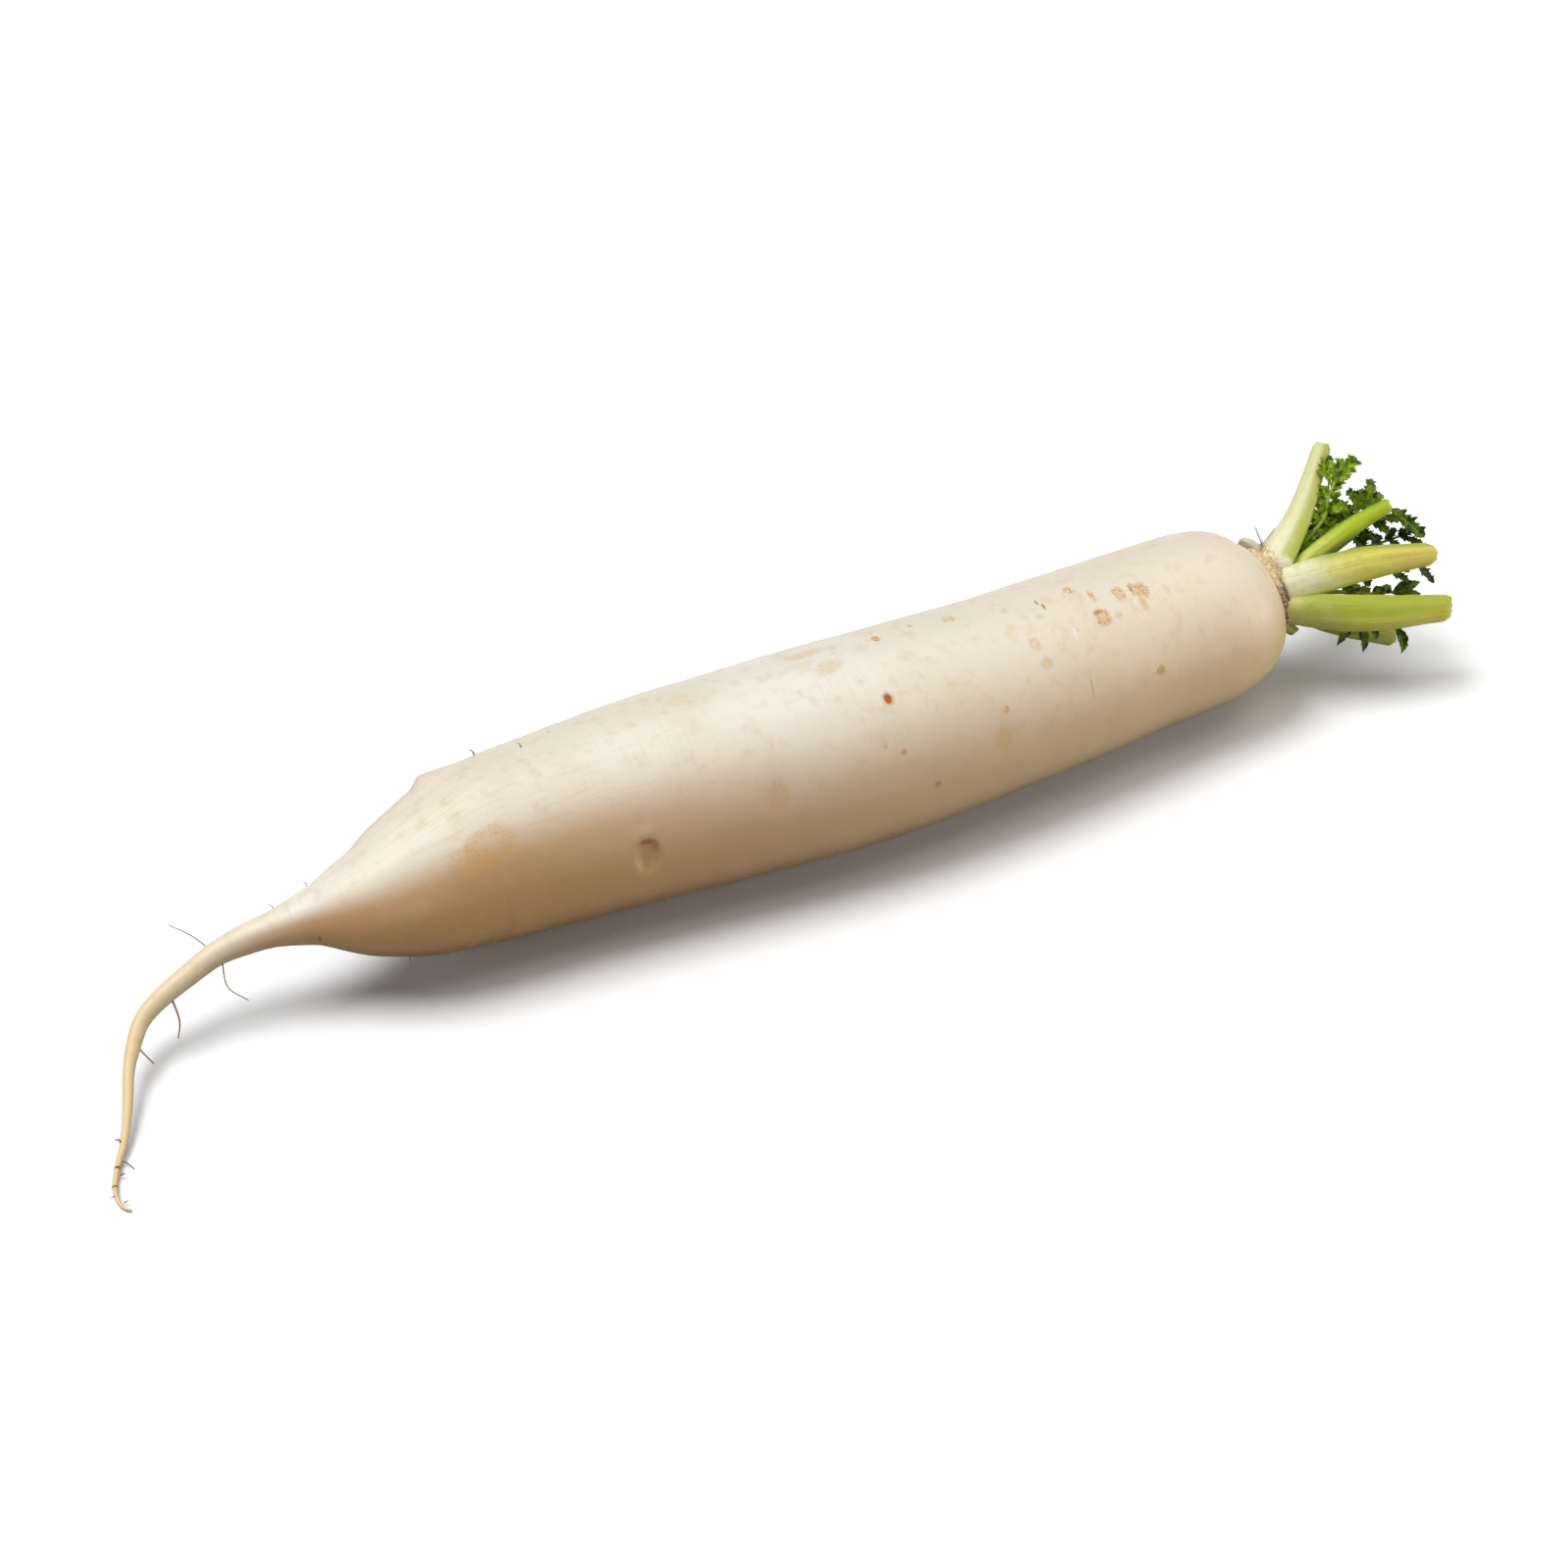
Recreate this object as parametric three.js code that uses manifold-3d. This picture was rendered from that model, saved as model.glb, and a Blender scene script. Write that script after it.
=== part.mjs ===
// A daikon radish lying on its side: the long white taproot with its thin tail, the short stem
// at its crown, the cut leaf stalks round that stem and the young leaves in their middle.
// Millimetres, +Z up, +X along the root towards the crown, the origin under its middle.

import * as THREE from 'three';
import { mergeVertices } from 'three/addons/utils/BufferGeometryUtils.js';
import Module from 'manifold-3d';

const wasm = await Module();
wasm.setup();

const GAP = 0.3; // clearance between pieces that touch
const LEAF_THICKNESS = 0.8;
const WELD_REACH = 1e-4; // corners nearer than this are one
const ROOT_RINGS = 36;
const ROOT_SIDES = 30;
const TAIL_RINGS = 28;
const TAIL_SIDES = 9;
const STALK_SIDES = 12;

// Stations along the thick root: centre x, y, z and radius. The belly passes through the
// surface it lies on by up to half a millimetre, and is cut flat there.
const BODY = [
  [-190, -23, 31, 3],
  [-183, -23.6, 31.6, 8.4],
  [-177.5, -25.3, 32.2, 11],
  [-171.4, -26.4, 32.5, 14.2],
  [-161.9, -26.8, 32.8, 18.7],
  [-152.2, -26.3, 33, 22.7],
  [-142, -24.9, 33, 25.8],
  [-132, -23.1, 33, 28.2],
  [-121.9, -21.8, 33, 29.8],
  [-98.5, -20.8, 33, 31.7],
  [-61.8, -21.9, 33.6, 33.7],
  [-31.6, -24, 34.3, 34.8],
  [-0.9, -26.2, 34.8, 35.3],
  [30.9, -26.8, 34.5, 35],
  [63.9, -25.8, 33.8, 34.2],
  [98.2, -23.6, 32.9, 32.9],
  [121.4, -21.8, 32.6, 32.1],
  [144.7, -20.8, 32.7, 31.6],
  [157, -20.6, 33.2, 30.4],
  [165.5, -20.6, 34, 27.8],
  [171.5, -20.5, 34.8, 24.2],
  [176, -20.4, 35.6, 19.6],
  [179, -20.4, 36.2, 14.6],
  [180.6, -20.4, 36.6, 7],
];

// Stations down the tail, from inside the taper to its tip on the surface.
const TAIL = [
  [-172, -25.9, 32.4, 12.2],
  [-182.5, -22.9, 31.5, 8.8],
  [-194, -22.2, 30.1, 6],
  [-203, -20.3, 27.8, 5],
  [-213, -19.3, 24.7, 4],
  [-224.5, -21, 20.6, 3.6],
  [-234.8, -23.6, 17, 3.2],
  [-241.6, -26.8, 13.8, 2.8],
  [-246.8, -33, 10.6, 2.4],
  [-251, -40, 8, 1.9],
  [-254.5, -48.5, 5.8, 1.7],
  [-258.5, -57.7, 3.8, 1.45],
  [-262, -64.5, 2.4, 1.25],
  [-265, -69, 1.6, 1.05],
  [-267.5, -73.5, 1.2, 0.9],
  [-270, -79, 1, 0.8],
  [-271, -84, 0.9, 0.66],
  [-270.6, -88, 0.8, 0.5],
  [-268.8, -90.3, 0.7, 0.4],
];

// Side roots on the tail: root point, bend point and tip, with the radius at the root.
const ROOTLETS = [
  { from: [-213, -18, 24.6], bend: [-217.5, -10.8, 27.8], to: [-222.7, -4.3, 29.3], radius: 0.4 },
  { from: [-211.6, -21.6, 24], bend: [-213.1, -29.6, 19.4], to: [-208.6, -36, 16.8], radius: 0.4 },
  { from: [-230.2, -24.6, 17.2], bend: [-230.4, -31, 13.2], to: [-232.6, -34.8, 9.6], radius: 0.45 },
  { from: [-245.5, -33, 10], bend: [-244, -37, 8.6], to: [-242.6, -39.6, 7], radius: 0.4 },
  { from: [-265.2, -69, 1.4], bend: [-263.4, -71, 1.1], to: [-262, -74.2, 0.8], radius: 0.35 },
];

const ROOTLET = { rings: 6, sides: 5, taper: 0.35 };

// The stump of a broken side root on the upper back of the taper.
const STUMP = { from: [-132, -15, 50], to: [-133.6, -5.8, 60.4], radii: [6, 3.4, 1], sides: 10 };

// The block under the surface that the root lies on, which cuts it flat: length, width, height.
const GROUND = [700, 300, 20];

// The crown: centre of the collar, direction of the stem and its profile of leaf scars,
// as radius and height pairs.
const CROWN = new THREE.Vector3(181.6, -20.4, 36.9);
const STEM_AXIS = new THREE.Vector3(0.968, -0.083, 0.239).normalize();
const STEM_SIDES = 28;
const STEM_PROFILE = [
  [0, -5], [12.5, -5], [14.8, -1.6], [14.5, 0.4], [13.2, 1], [13.6, 1.8], [12, 2.4],
  [12.2, 3.3], [10, 4.2], [6.2, 5.8], [0, 6.6],
];

// Cut leaf stalks. Points are offsets from the crown's centre: base, bend and tip. Widths and
// depths are at the base, the middle and the tip, and slant is how far the cut leans.
const STALKS = [
  { name: 'stalk_top', color: 0xdfe3a6, base: [1.4, -0.2, 10.8], bend: [20.4, 13.2, 18.6],
    tip: [37.4, 27.7, 32.2], width: [13, 9.4, 6], depth: [7, 6.4, 5], slant: 0.2 },
  { name: 'stalk_front_upper', color: 0xc9cf6f, base: [2.2, -7.6, 5.4], bend: [27.6, -14.6, 10],
    tip: [52, -22.3, 11.7], width: [13, 12.4, 8], depth: [9, 9, 7], slant: -0.5 },
  { name: 'stalk_front_lower', color: 0x9fb04a, base: [2, -9, -4.2], bend: [23.4, -23.6, -3.8],
    tip: [54, -34, -4.8], width: [18, 13.6, 9], depth: [9.5, 11.6, 8.6], slant: 0.15 },
  { name: 'stalk_slim', color: 0xb4c63c, base: [4.6, -3.2, 5.4], bend: [29.1, -0.5, 14.2],
    tip: [47.8, -0.9, 20.8], width: [6.6, 6.6, 5], depth: [5.6, 5.6, 4.6], slant: 0.1 },
  { name: 'stalk_bottom', color: 0x9fae4e, base: [4.6, 0.8, -8.4], bend: [21.9, -14.4, -14.2],
    tip: [40, -22.3, -21.4], width: [11, 9, 7], depth: [6.6, 6.4, 5.4], slant: 0.3 },
  { name: 'stalk_back_upper', color: 0xd3cf92, base: [1.2, 6.2, 8.8], bend: [14, 14.6, 8.9],
    tip: [29.2, 21.6, 10], width: [9.5, 8, 6.4], depth: [5.5, 5.5, 5], slant: 0.3 },
  { name: 'stalk_back', color: 0xb8c25a, base: [4.2, 10, -1.2], bend: [22, 20, -3.2],
    tip: [42, 28, -6], width: [10, 8, 6.4], depth: [6, 6.4, 5], slant: -0.3 },
  { name: 'stub_front', color: 0x8f9f48, base: [1.2, -9.6, -10], bend: [2.8, -11, -11.8],
    tip: [4.4, -12.2, -13.4], width: [5.6, 5, 4], depth: [3.6, 3.4, 3], slant: 0.4 },
  { name: 'stub_back', color: 0xdcdcbc, base: [0, 10.4, 9], bend: [-2, 12.6, 11.2],
    tip: [-4, 14, 12.6], width: [7, 6.4, 4.4], depth: [3.4, 3, 2.2], slant: 0.3 },
];

// How far along a stalk its rings stand, and how much the last one is drawn in at the cut.
const STALK_RINGS = [0, 0.14, 0.3, 0.46, 0.62, 0.8, 0.97, 1];
const CUT_EDGE = 0.82;

// A stalk's outline in shares of its depth: the round back, the flat inside and its groove.
const BACK_SHARE = 0.55;
const FRONT_SHARE = 0.45;
const FRONT_FLATNESS = 1.5;
const GROOVE_SHARE = 0.3;
const GROOVE_EDGE = 0.6;

// Young leaves. Rib points are offsets from the crown's centre and face is the direction that
// the blades look to. Each leaflet has its place along the rib as a share, the angle that it
// turns out from the rib, its length, its half width, and how far its tip hooks, in degrees.
// The last number, where there is one, is the share of it that is bare stalk.
const DRAWS_PER_LEAF = 100; // leaves take their draws from seeds this far apart
const LEAVES = [
  { name: 'young_leaf_tall', face: [-0.3, -0.7, 0.62], seed: 1,
    rib: [[5, 1.2, 5.6], [25.1, 7.3, 15.1], [29.6, 10.7, 21.2], [35.5, 15.1, 26.7]],
    leaflets: [
      [0.69, -19, 16.4, 3.5, 0, 0.35], [0.91, 18, 12.4, 3.5, 0], [0.72, 9, 9.9, 2.9, 0, 0.2],
      [0.62, -49, 10.3, 1.6, 0, 0.3], [0.96, -10, 8.2, 1.2, 0], [0.32, -75, 6.3, 1.4, 0],
      [0.4, -48, 7.1, 1.6, 0], [0.28, 170, 7.2, 1.8, 0],
    ] },
  { name: 'young_leaf_middle', face: [-0.4, -0.66, 0.62], seed: 2,
    rib: [[5.8, 3.6, 1.8], [28.8, 6.6, 7.8], [40, 9.2, 12], [48.5, 10.7, 15.1]],
    leaflets: [
      [0.96, -45, 8.5, 2.7, 0], [0.89, -99, 8.4, 2.2, 0], [0.79, -41, 7.8, 2, 0],
      [0.96, 12, 6.2, 2, 0], [0.84, 26, 7.1, 2, 0], [0.64, -101, 8, 2.2, 0],
      [0.61, -45, 5.5, 2.2, 0], [0.48, 32, 5.6, 2.2, 0], [0.72, -48, 6.5, 2, 0],
      [0.51, -59, 6.3, 2.2, 0],
    ] },
  { name: 'young_leaf_curled', face: [-0.5, -0.6, 0.62], seed: 3,
    rib: [[5.8, -0.2, 3.6], [20.7, 3.6, 6.5], [24.5, 4.9, 10], [27.9, 6.2, 13.1]],
    leaflets: [
      [0.84, -59, 5.5, 2, 20], [0.96, -14, 7.1, 2.2, 0], [0.7, -90, 4.7, 1.8, -20],
      [0.91, 16, 6.6, 2, 0], [0.78, 47, 5.8, 2, 0], [0.51, -106, 3.7, 1.8, 0],
      [0.42, 15, 4.7, 1.8, 0],
    ] },
  { name: 'young_leaf_long', face: [-0.2, -0.66, 0.72], seed: 4,
    rib: [[5.8, -4, 1.6], [30.5, -0.5, 8.9], [42.4, 0.7, 13.6], [51.1, 1.2, 17.3]],
    leaflets: [
      [0.96, 73, 16.5, 3.3, 0], [0.78, 46, 7.7, 2, 0], [0.67, 66, 7.2, 2.2, 0],
      [0.52, 70, 5.8, 2.2, 0], [0.41, 80, 5.7, 2, 0], [0.72, -80, 4.1, 1.8, 0],
    ] },
  { name: 'young_leaf_under', face: [-0.3, -0.62, 0.72], seed: 5,
    rib: [[6.2, 1.4, -1], [32.1, 0.9, 3.6], [43.2, -0.9, 4.5], [54.1, -3, 6.6]],
    leaflets: [
      [0.96, -13, 6, 2.2, 0], [0.96, 37, 8.9, 1.6, 0], [0.81, -37, 5.9, 1.8, 0],
      [0.84, 49, 4.4, 1.6, 0], [0.64, -35, 5.4, 2.2, 0], [0.68, 43, 4.3, 1.6, 0],
      [0.46, -44, 5.3, 2.2, 0], [0.95, -51, 3.5, 1.2, 0],
    ] },
  { name: 'young_leaf_behind', face: [-0.3, -0.6, 0.74], seed: 6,
    rib: [[5.6, -5.2, 1], [28.3, -5.3, 1.2], [41.7, -9.9, 1.9], [53.6, -13.6, 2.9]],
    leaflets: [
      [0.96, 60, 10.8, 1.9, 0], [0.66, 39, 11, 2, 0], [0.42, 60, 8.2, 2.2, 0],
    ] },
  { name: 'young_leaf_front', face: [0, -0.6, 0.8], seed: 7,
    rib: [[5.6, -5.2, -1], [21, -10.6, -2.3], [32.5, -14.3, -4.6], [42.4, -18, -4.7]],
    leaflets: [
      [0.96, -15, 10.4, 2.2, 0], [0.85, -44, 3.9, 1.8, 0], [0.72, -24, 5, 1.6, 0],
      [0.55, -22, 6.7, 1.6, 0], [0.94, 8, 10.5, 1.8, 0], [0.42, -24, 6.8, 2, 0],
      [0.94, 14, 14.9, 1.4, 0],
    ] },
  { name: 'young_leaf_low', face: [-0.33, -0.7, 0.63], seed: 8,
    rib: [
      [6.1, -2.2, -3.6], [16, -8.8, -6.1], [20.8, -15.4, -10.3], [28.4, -21.9, -12.9],
      [40.2, -26.1, -14.5],
    ],
    leaflets: [
      [0.62, 102, 9.1, 2.2, 0], [0.69, 47, 9.6, 2.4, 45], [0.96, 55, 10.2, 2.9, 60],
    ] },
];

// The midrib: its rings and sides, the share of the rib that it covers, its radius at the base
// and how much thinner it is at its end.
const MIDRIB = { rings: 8, sides: 6, share: 0.97, radius: 1.1, taper: 0.55 };

// A leaflet's blade. Its outline has teeth between the first and the last share, with a notch
// after each; it folds up and sweeps forward from its rib, arches and then droops to its tip,
// and rises out of the leaf's plane by a draw. The swell shapes its widest part.
const BLADE = {
  teeth: 3, sides: 6, firstTooth: 0.2, lastTooth: 0.82, notchStep: 0.1, notch: 0.6,
  baseHalf: 0.5, tipHalf: 0.35, fold: 0.3, sweep: 0.3, arch: 0.06, droop: 0.1, lift: 0.5,
  hookStart: 0.55, swellStart: 0.2, swell: 0.66,
};

const UP = new THREE.Vector3(0, 0, 1);

// Turns a closed mesh with shared corners into a solid that can be joined and cut.
function toSolid(geometry) {
  return new wasm.Manifold(new wasm.Mesh({
    numProp: 3,
    vertProperties: new Float32Array(geometry.attributes.position.array),
    triVerts: new Uint32Array(geometry.index.array),
  }));
}

function toGeometry(solid) {
  const mesh = solid.getMesh();
  const geometry = new THREE.BufferGeometry();
  geometry.setAttribute('position', new THREE.Float32BufferAttribute(mesh.vertProperties, 3));
  geometry.setIndex(new THREE.Uint32BufferAttribute(mesh.triVerts, 1));
  return geometry;
}

function welded(geometry) {
  geometry.deleteAttribute('normal');
  geometry.deleteAttribute('uv');
  return mergeVertices(geometry, WELD_REACH);
}

// A closed solid of rings. Each corner of a plain turned drum is moved to place(ring, x, z),
// where x and z are its place on the unit circle, or 0 and 0 at the middle of an end.
function loft(rings, sides, place) {
  const profile = [new THREE.Vector2(0, 0)];
  for (let ring = 0; ring < rings; ring++) profile.push(new THREE.Vector2(1, ring + 1));
  profile.push(new THREE.Vector2(0, rings + 1));
  const geometry = welded(new THREE.LatheGeometry(profile, sides));
  const corners = geometry.attributes.position;
  for (let i = 0; i < corners.count; i++) {
    const ring = THREE.MathUtils.clamp(Math.round(corners.getY(i)) - 1, 0, rings - 1);
    const point = place(ring, corners.getX(i), corners.getZ(i));
    corners.setXYZ(i, point.x, point.y, point.z);
  }
  return toSolid(geometry);
}

const smoothCurve = (points) => new THREE.CatmullRomCurve3(
  points.map((point) => new THREE.Vector3(...point)), false, 'catmullrom', 0.5);

// A smooth run of single values, one for each station of a curve.
function smoothValue(values) {
  const curve = smoothCurve(values.map((value) => [value, 0, 0]));
  return (t) => curve.getPoint(t).x;
}

// The frame of a ring: where it is, which way the curve runs, and its side and top.
function frameAt(curve, t, top) {
  const origin = curve.getPoint(t);
  const along = curve.getTangent(t);
  const side = new THREE.Vector3().crossVectors(along, top).normalize();
  return { origin, along, side, top: new THREE.Vector3().crossVectors(side, along) };
}

function pointIn(frame, across, up, ahead = 0) {
  return frame.origin.clone()
    .addScaledVector(frame.side, across)
    .addScaledVector(frame.top, up)
    .addScaledVector(frame.along, ahead);
}

// A round body along stations of centre and radius.
function roundBody(stations, rings, sides) {
  const curve = smoothCurve(stations.map((station) => station.slice(0, 3)));
  const radius = smoothValue(stations.map((station) => station[3]));
  const frames = [...Array(rings).keys()].map((ring) => frameAt(curve, ring / (rings - 1), UP));
  return loft(rings, sides, (ring, x, z) => {
    const r = radius(ring / (rings - 1));
    return pointIn(frames[ring], x * r, z * r);
  });
}

function rootlet({ from, bend, to, radius }) {
  const curve = smoothCurve([from, bend, to]);
  return loft(ROOTLET.rings, ROOTLET.sides, (ring, x, z) => {
    const t = ring / (ROOTLET.rings - 1);
    const r = radius * (1 - ROOTLET.taper * t);
    return pointIn(frameAt(curve, t, UP), x * r, z * r);
  });
}

function stump({ from, to, radii, sides }) {
  const curve = new THREE.LineCurve3(new THREE.Vector3(...from), new THREE.Vector3(...to));
  return loft(radii.length, sides, (ring, x, z) => {
    const frame = frameAt(curve, ring / (radii.length - 1), UP);
    return pointIn(frame, x * radii[ring], z * radii[ring]);
  });
}

// The root with its tail, side roots and stump in one piece, cut flat where it lies.
function taproot() {
  let root = roundBody(BODY, ROOT_RINGS, ROOT_SIDES)
    .add(roundBody(TAIL, TAIL_RINGS, TAIL_SIDES))
    .add(stump(STUMP));
  for (const branch of ROOTLETS) root = root.add(rootlet(branch));
  const ground = new THREE.BoxGeometry(...GROUND).translate(0, 0, -GROUND[2] / 2);
  return root.subtract(toSolid(welded(ground)));
}

// The short stem: a turned disc of leaf scars set on the end of the root.
function crownStem() {
  const profile = STEM_PROFILE.map(([radius, height]) => new THREE.Vector2(radius, height));
  const disc = welded(new THREE.LatheGeometry(profile, STEM_SIDES));
  const upright = new THREE.Vector3(0, 1, 0);
  disc.applyQuaternion(new THREE.Quaternion().setFromUnitVectors(upright, STEM_AXIS));
  disc.translate(CROWN.x, CROWN.y, CROWN.z);
  return toSolid(disc);
}

// Direction from the stem's axis out to a point, which a stalk's rounded back looks to.
function outward(point) {
  const offset = point.clone().sub(CROWN);
  return offset.addScaledVector(STEM_AXIS, -offset.dot(STEM_AXIS)).normalize();
}

const fromCrown = ([x, y, z]) => [x + CROWN.x, y + CROWN.y, z + CROWN.z];

// A leaf stalk: rounded on its back, flat and slightly grooved inside, cut across at its tip.
function stalk({ base, bend, tip, width, depth, slant }) {
  const curve = smoothCurve([base, bend, tip].map(fromCrown));
  const inside = outward(curve.getPoint(0)).negate();
  const widthAt = smoothValue(width);
  const depthAt = smoothValue(depth);
  const last = STALK_RINGS.length - 1;
  return loft(STALK_RINGS.length, STALK_SIDES, (ring, x, z) => {
    const t = STALK_RINGS[ring];
    const edge = ring === last ? CUT_EDGE : 1;
    const back = BACK_SHARE * Math.min(z, 0);
    const flat = FRONT_SHARE * Math.min(Math.max(z, 0) * FRONT_FLATNESS, 1);
    const groove = GROOVE_SHARE * Math.max(z - GROOVE_EDGE, 0);
    const up = edge * depthAt(t) * (z > 0 ? flat - groove : back);
    const across = edge * x * widthAt(t) / 2;
    return pointIn(frameAt(curve, t, inside), across, up, ring >= last - 1 ? slant * up : 0);
  });
}

// A repeatable draw between 0 and 1.
function draw(seed) {
  const wave = Math.sin(seed * 12.9898) * 43758.5453;
  return wave - Math.floor(wave);
}

// The shares along a leaflet at which its blade has rings, each with its half width there.
function bladeStations(halfWidth, bare) {
  const stations = [{ t: 0, half: BLADE.baseHalf }];
  if (bare > 0) stations.push({ t: bare, half: BLADE.baseHalf });
  const along = (t) => bare + (1 - bare) * t;
  const step = (BLADE.lastTooth - BLADE.firstTooth) / (BLADE.teeth - 1);
  for (let tooth = 0; tooth < BLADE.teeth; tooth++) {
    const t = BLADE.firstTooth + step * tooth;
    const half = halfWidth * Math.sin(Math.PI * (BLADE.swellStart + BLADE.swell * t));
    stations.push({ t: along(t), half });
    if (tooth < BLADE.teeth - 1) {
      stations.push({ t: along(t + BLADE.notchStep), half: half * BLADE.notch });
    }
  }
  stations.push({ t: 1, half: BLADE.tipHalf });
  return stations;
}

// A direction turned out from a rib in the leaf's plane, and raised out of it.
function turned(frame, degrees, lift) {
  const angle = THREE.MathUtils.degToRad(degrees);
  return new THREE.Vector3()
    .addScaledVector(frame.side, Math.sin(angle))
    .addScaledVector(frame.along, Math.cos(angle))
    .addScaledVector(frame.top, lift)
    .normalize();
}

// A toothed leaflet: a thin blade folded a little along its rib and bent down to its tip.
// Teeth point forward, because each ring's edges are swept ahead of its rib.
function leaflet(frame, [, turn, length, halfWidth, hook, bare = 0], lift) {
  const bend = frame.origin.clone()
    .addScaledVector(turned(frame, turn, lift), length * BLADE.hookStart);
  const tip = bend.clone()
    .addScaledVector(turned(frame, turn + hook, lift), length * (1 - BLADE.hookStart))
    .addScaledVector(frame.top, -BLADE.droop * length);
  bend.addScaledVector(frame.top, BLADE.arch * length);
  const curve = new THREE.QuadraticBezierCurve3(frame.origin, bend, tip);
  const stations = bladeStations(halfWidth, bare);
  return loft(stations.length, BLADE.sides, (ring, x, z) => {
    const { t, half } = stations[ring];
    const across = Math.sign(Math.round(x * 10)) * half;
    const fold = BLADE.fold * Math.abs(across);
    const sweep = BLADE.sweep * Math.abs(across) * (1 - t);
    const skin = Math.sign(Math.round(z * 10)) * LEAF_THICKNESS / 2;
    return pointIn(frameAt(curve, t, frame.top), across, fold + skin, sweep);
  });
}

// A young leaf: a midrib with its leaflets.
function youngLeaf({ rib, face, leaflets, seed }) {
  const curve = smoothCurve(rib.map(fromCrown));
  const look = new THREE.Vector3(...face).normalize();
  let leaf = loft(MIDRIB.rings, MIDRIB.sides, (ring, x, z) => {
    const t = ring / (MIDRIB.rings - 1);
    const r = MIDRIB.radius - MIDRIB.taper * t;
    return pointIn(frameAt(curve, t * MIDRIB.share, look), x * r, z * r);
  });
  leaflets.forEach((row, number) => {
    const lift = BLADE.lift * (draw(seed * DRAWS_PER_LEAF + number) - 0.5);
    leaf = leaf.add(leaflet(frameAt(curve, row[0], look), row, lift));
  });
  return leaf;
}

// The same solid with its skin moved out by the gap.
function grown(solid) {
  const geometry = toGeometry(solid);
  geometry.computeVertexNormals();
  const corners = geometry.attributes.position;
  const normals = geometry.attributes.normal;
  for (let i = 0; i < corners.count; i++) {
    corners.setXYZ(
      i,
      corners.getX(i) + GAP * normals.getX(i),
      corners.getY(i) + GAP * normals.getY(i),
      corners.getZ(i) + GAP * normals.getZ(i),
    );
  }
  geometry.deleteAttribute('normal');
  return toSolid(geometry);
}

// Cuts a piece clear of those already built and keeps its largest body.
function clearOf(solid, neighbours) {
  let piece = solid;
  for (const neighbour of neighbours) piece = piece.subtract(neighbour);
  return piece.decompose().reduce((best, body) => (body.volume() > best.volume() ? body : best));
}

const daikon = new THREE.Group();
const built = [];

function place(name, solid, color, roughness) {
  const piece = clearOf(solid, built);
  built.push(grown(piece));
  const material = new THREE.MeshStandardMaterial({ color, roughness, metalness: 0 });
  const mesh = new THREE.Mesh(toGeometry(piece), material);
  mesh.name = name;
  daikon.add(mesh);
}

place('taproot', taproot(), 0xefe6d8, 0.5);
place('crown_stem', crownStem(), 0x9a7040, 0.8);
for (const spec of STALKS) place(spec.name, stalk(spec), spec.color, 0.5);
for (const spec of LEAVES) place(spec.name, youngLeaf(spec), 0x4f8a24, 0.6);

// The origin goes under the middle of the whole, on the surface it lies on.
const box = new THREE.Box3().setFromObject(daikon);
const middle = box.getCenter(new THREE.Vector3());
daikon.position.set(-middle.x, -middle.y, -box.min.z);

export default daikon;
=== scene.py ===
import math

import bpy
import numpy as np
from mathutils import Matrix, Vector, noise


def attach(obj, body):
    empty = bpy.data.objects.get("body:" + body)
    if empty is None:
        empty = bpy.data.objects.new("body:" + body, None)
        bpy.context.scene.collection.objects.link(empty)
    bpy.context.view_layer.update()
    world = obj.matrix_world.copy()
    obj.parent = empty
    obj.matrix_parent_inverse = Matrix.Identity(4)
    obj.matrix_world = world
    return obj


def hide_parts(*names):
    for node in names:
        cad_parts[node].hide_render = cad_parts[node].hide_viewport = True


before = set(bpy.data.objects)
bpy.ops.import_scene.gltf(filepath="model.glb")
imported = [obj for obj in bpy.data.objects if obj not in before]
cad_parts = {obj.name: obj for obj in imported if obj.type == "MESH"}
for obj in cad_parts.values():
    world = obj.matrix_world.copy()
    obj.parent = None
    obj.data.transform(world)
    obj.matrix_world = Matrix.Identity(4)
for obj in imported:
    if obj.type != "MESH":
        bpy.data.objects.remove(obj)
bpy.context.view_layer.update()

# Shapes are worked out in millimetres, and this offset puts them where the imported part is.
OFFSET = np.array([14.753, 39.484, 0.0])
MM = 0.001
UP = np.array([0.0, 0.0, 1.0])
TURN = 2 * math.pi

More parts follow.
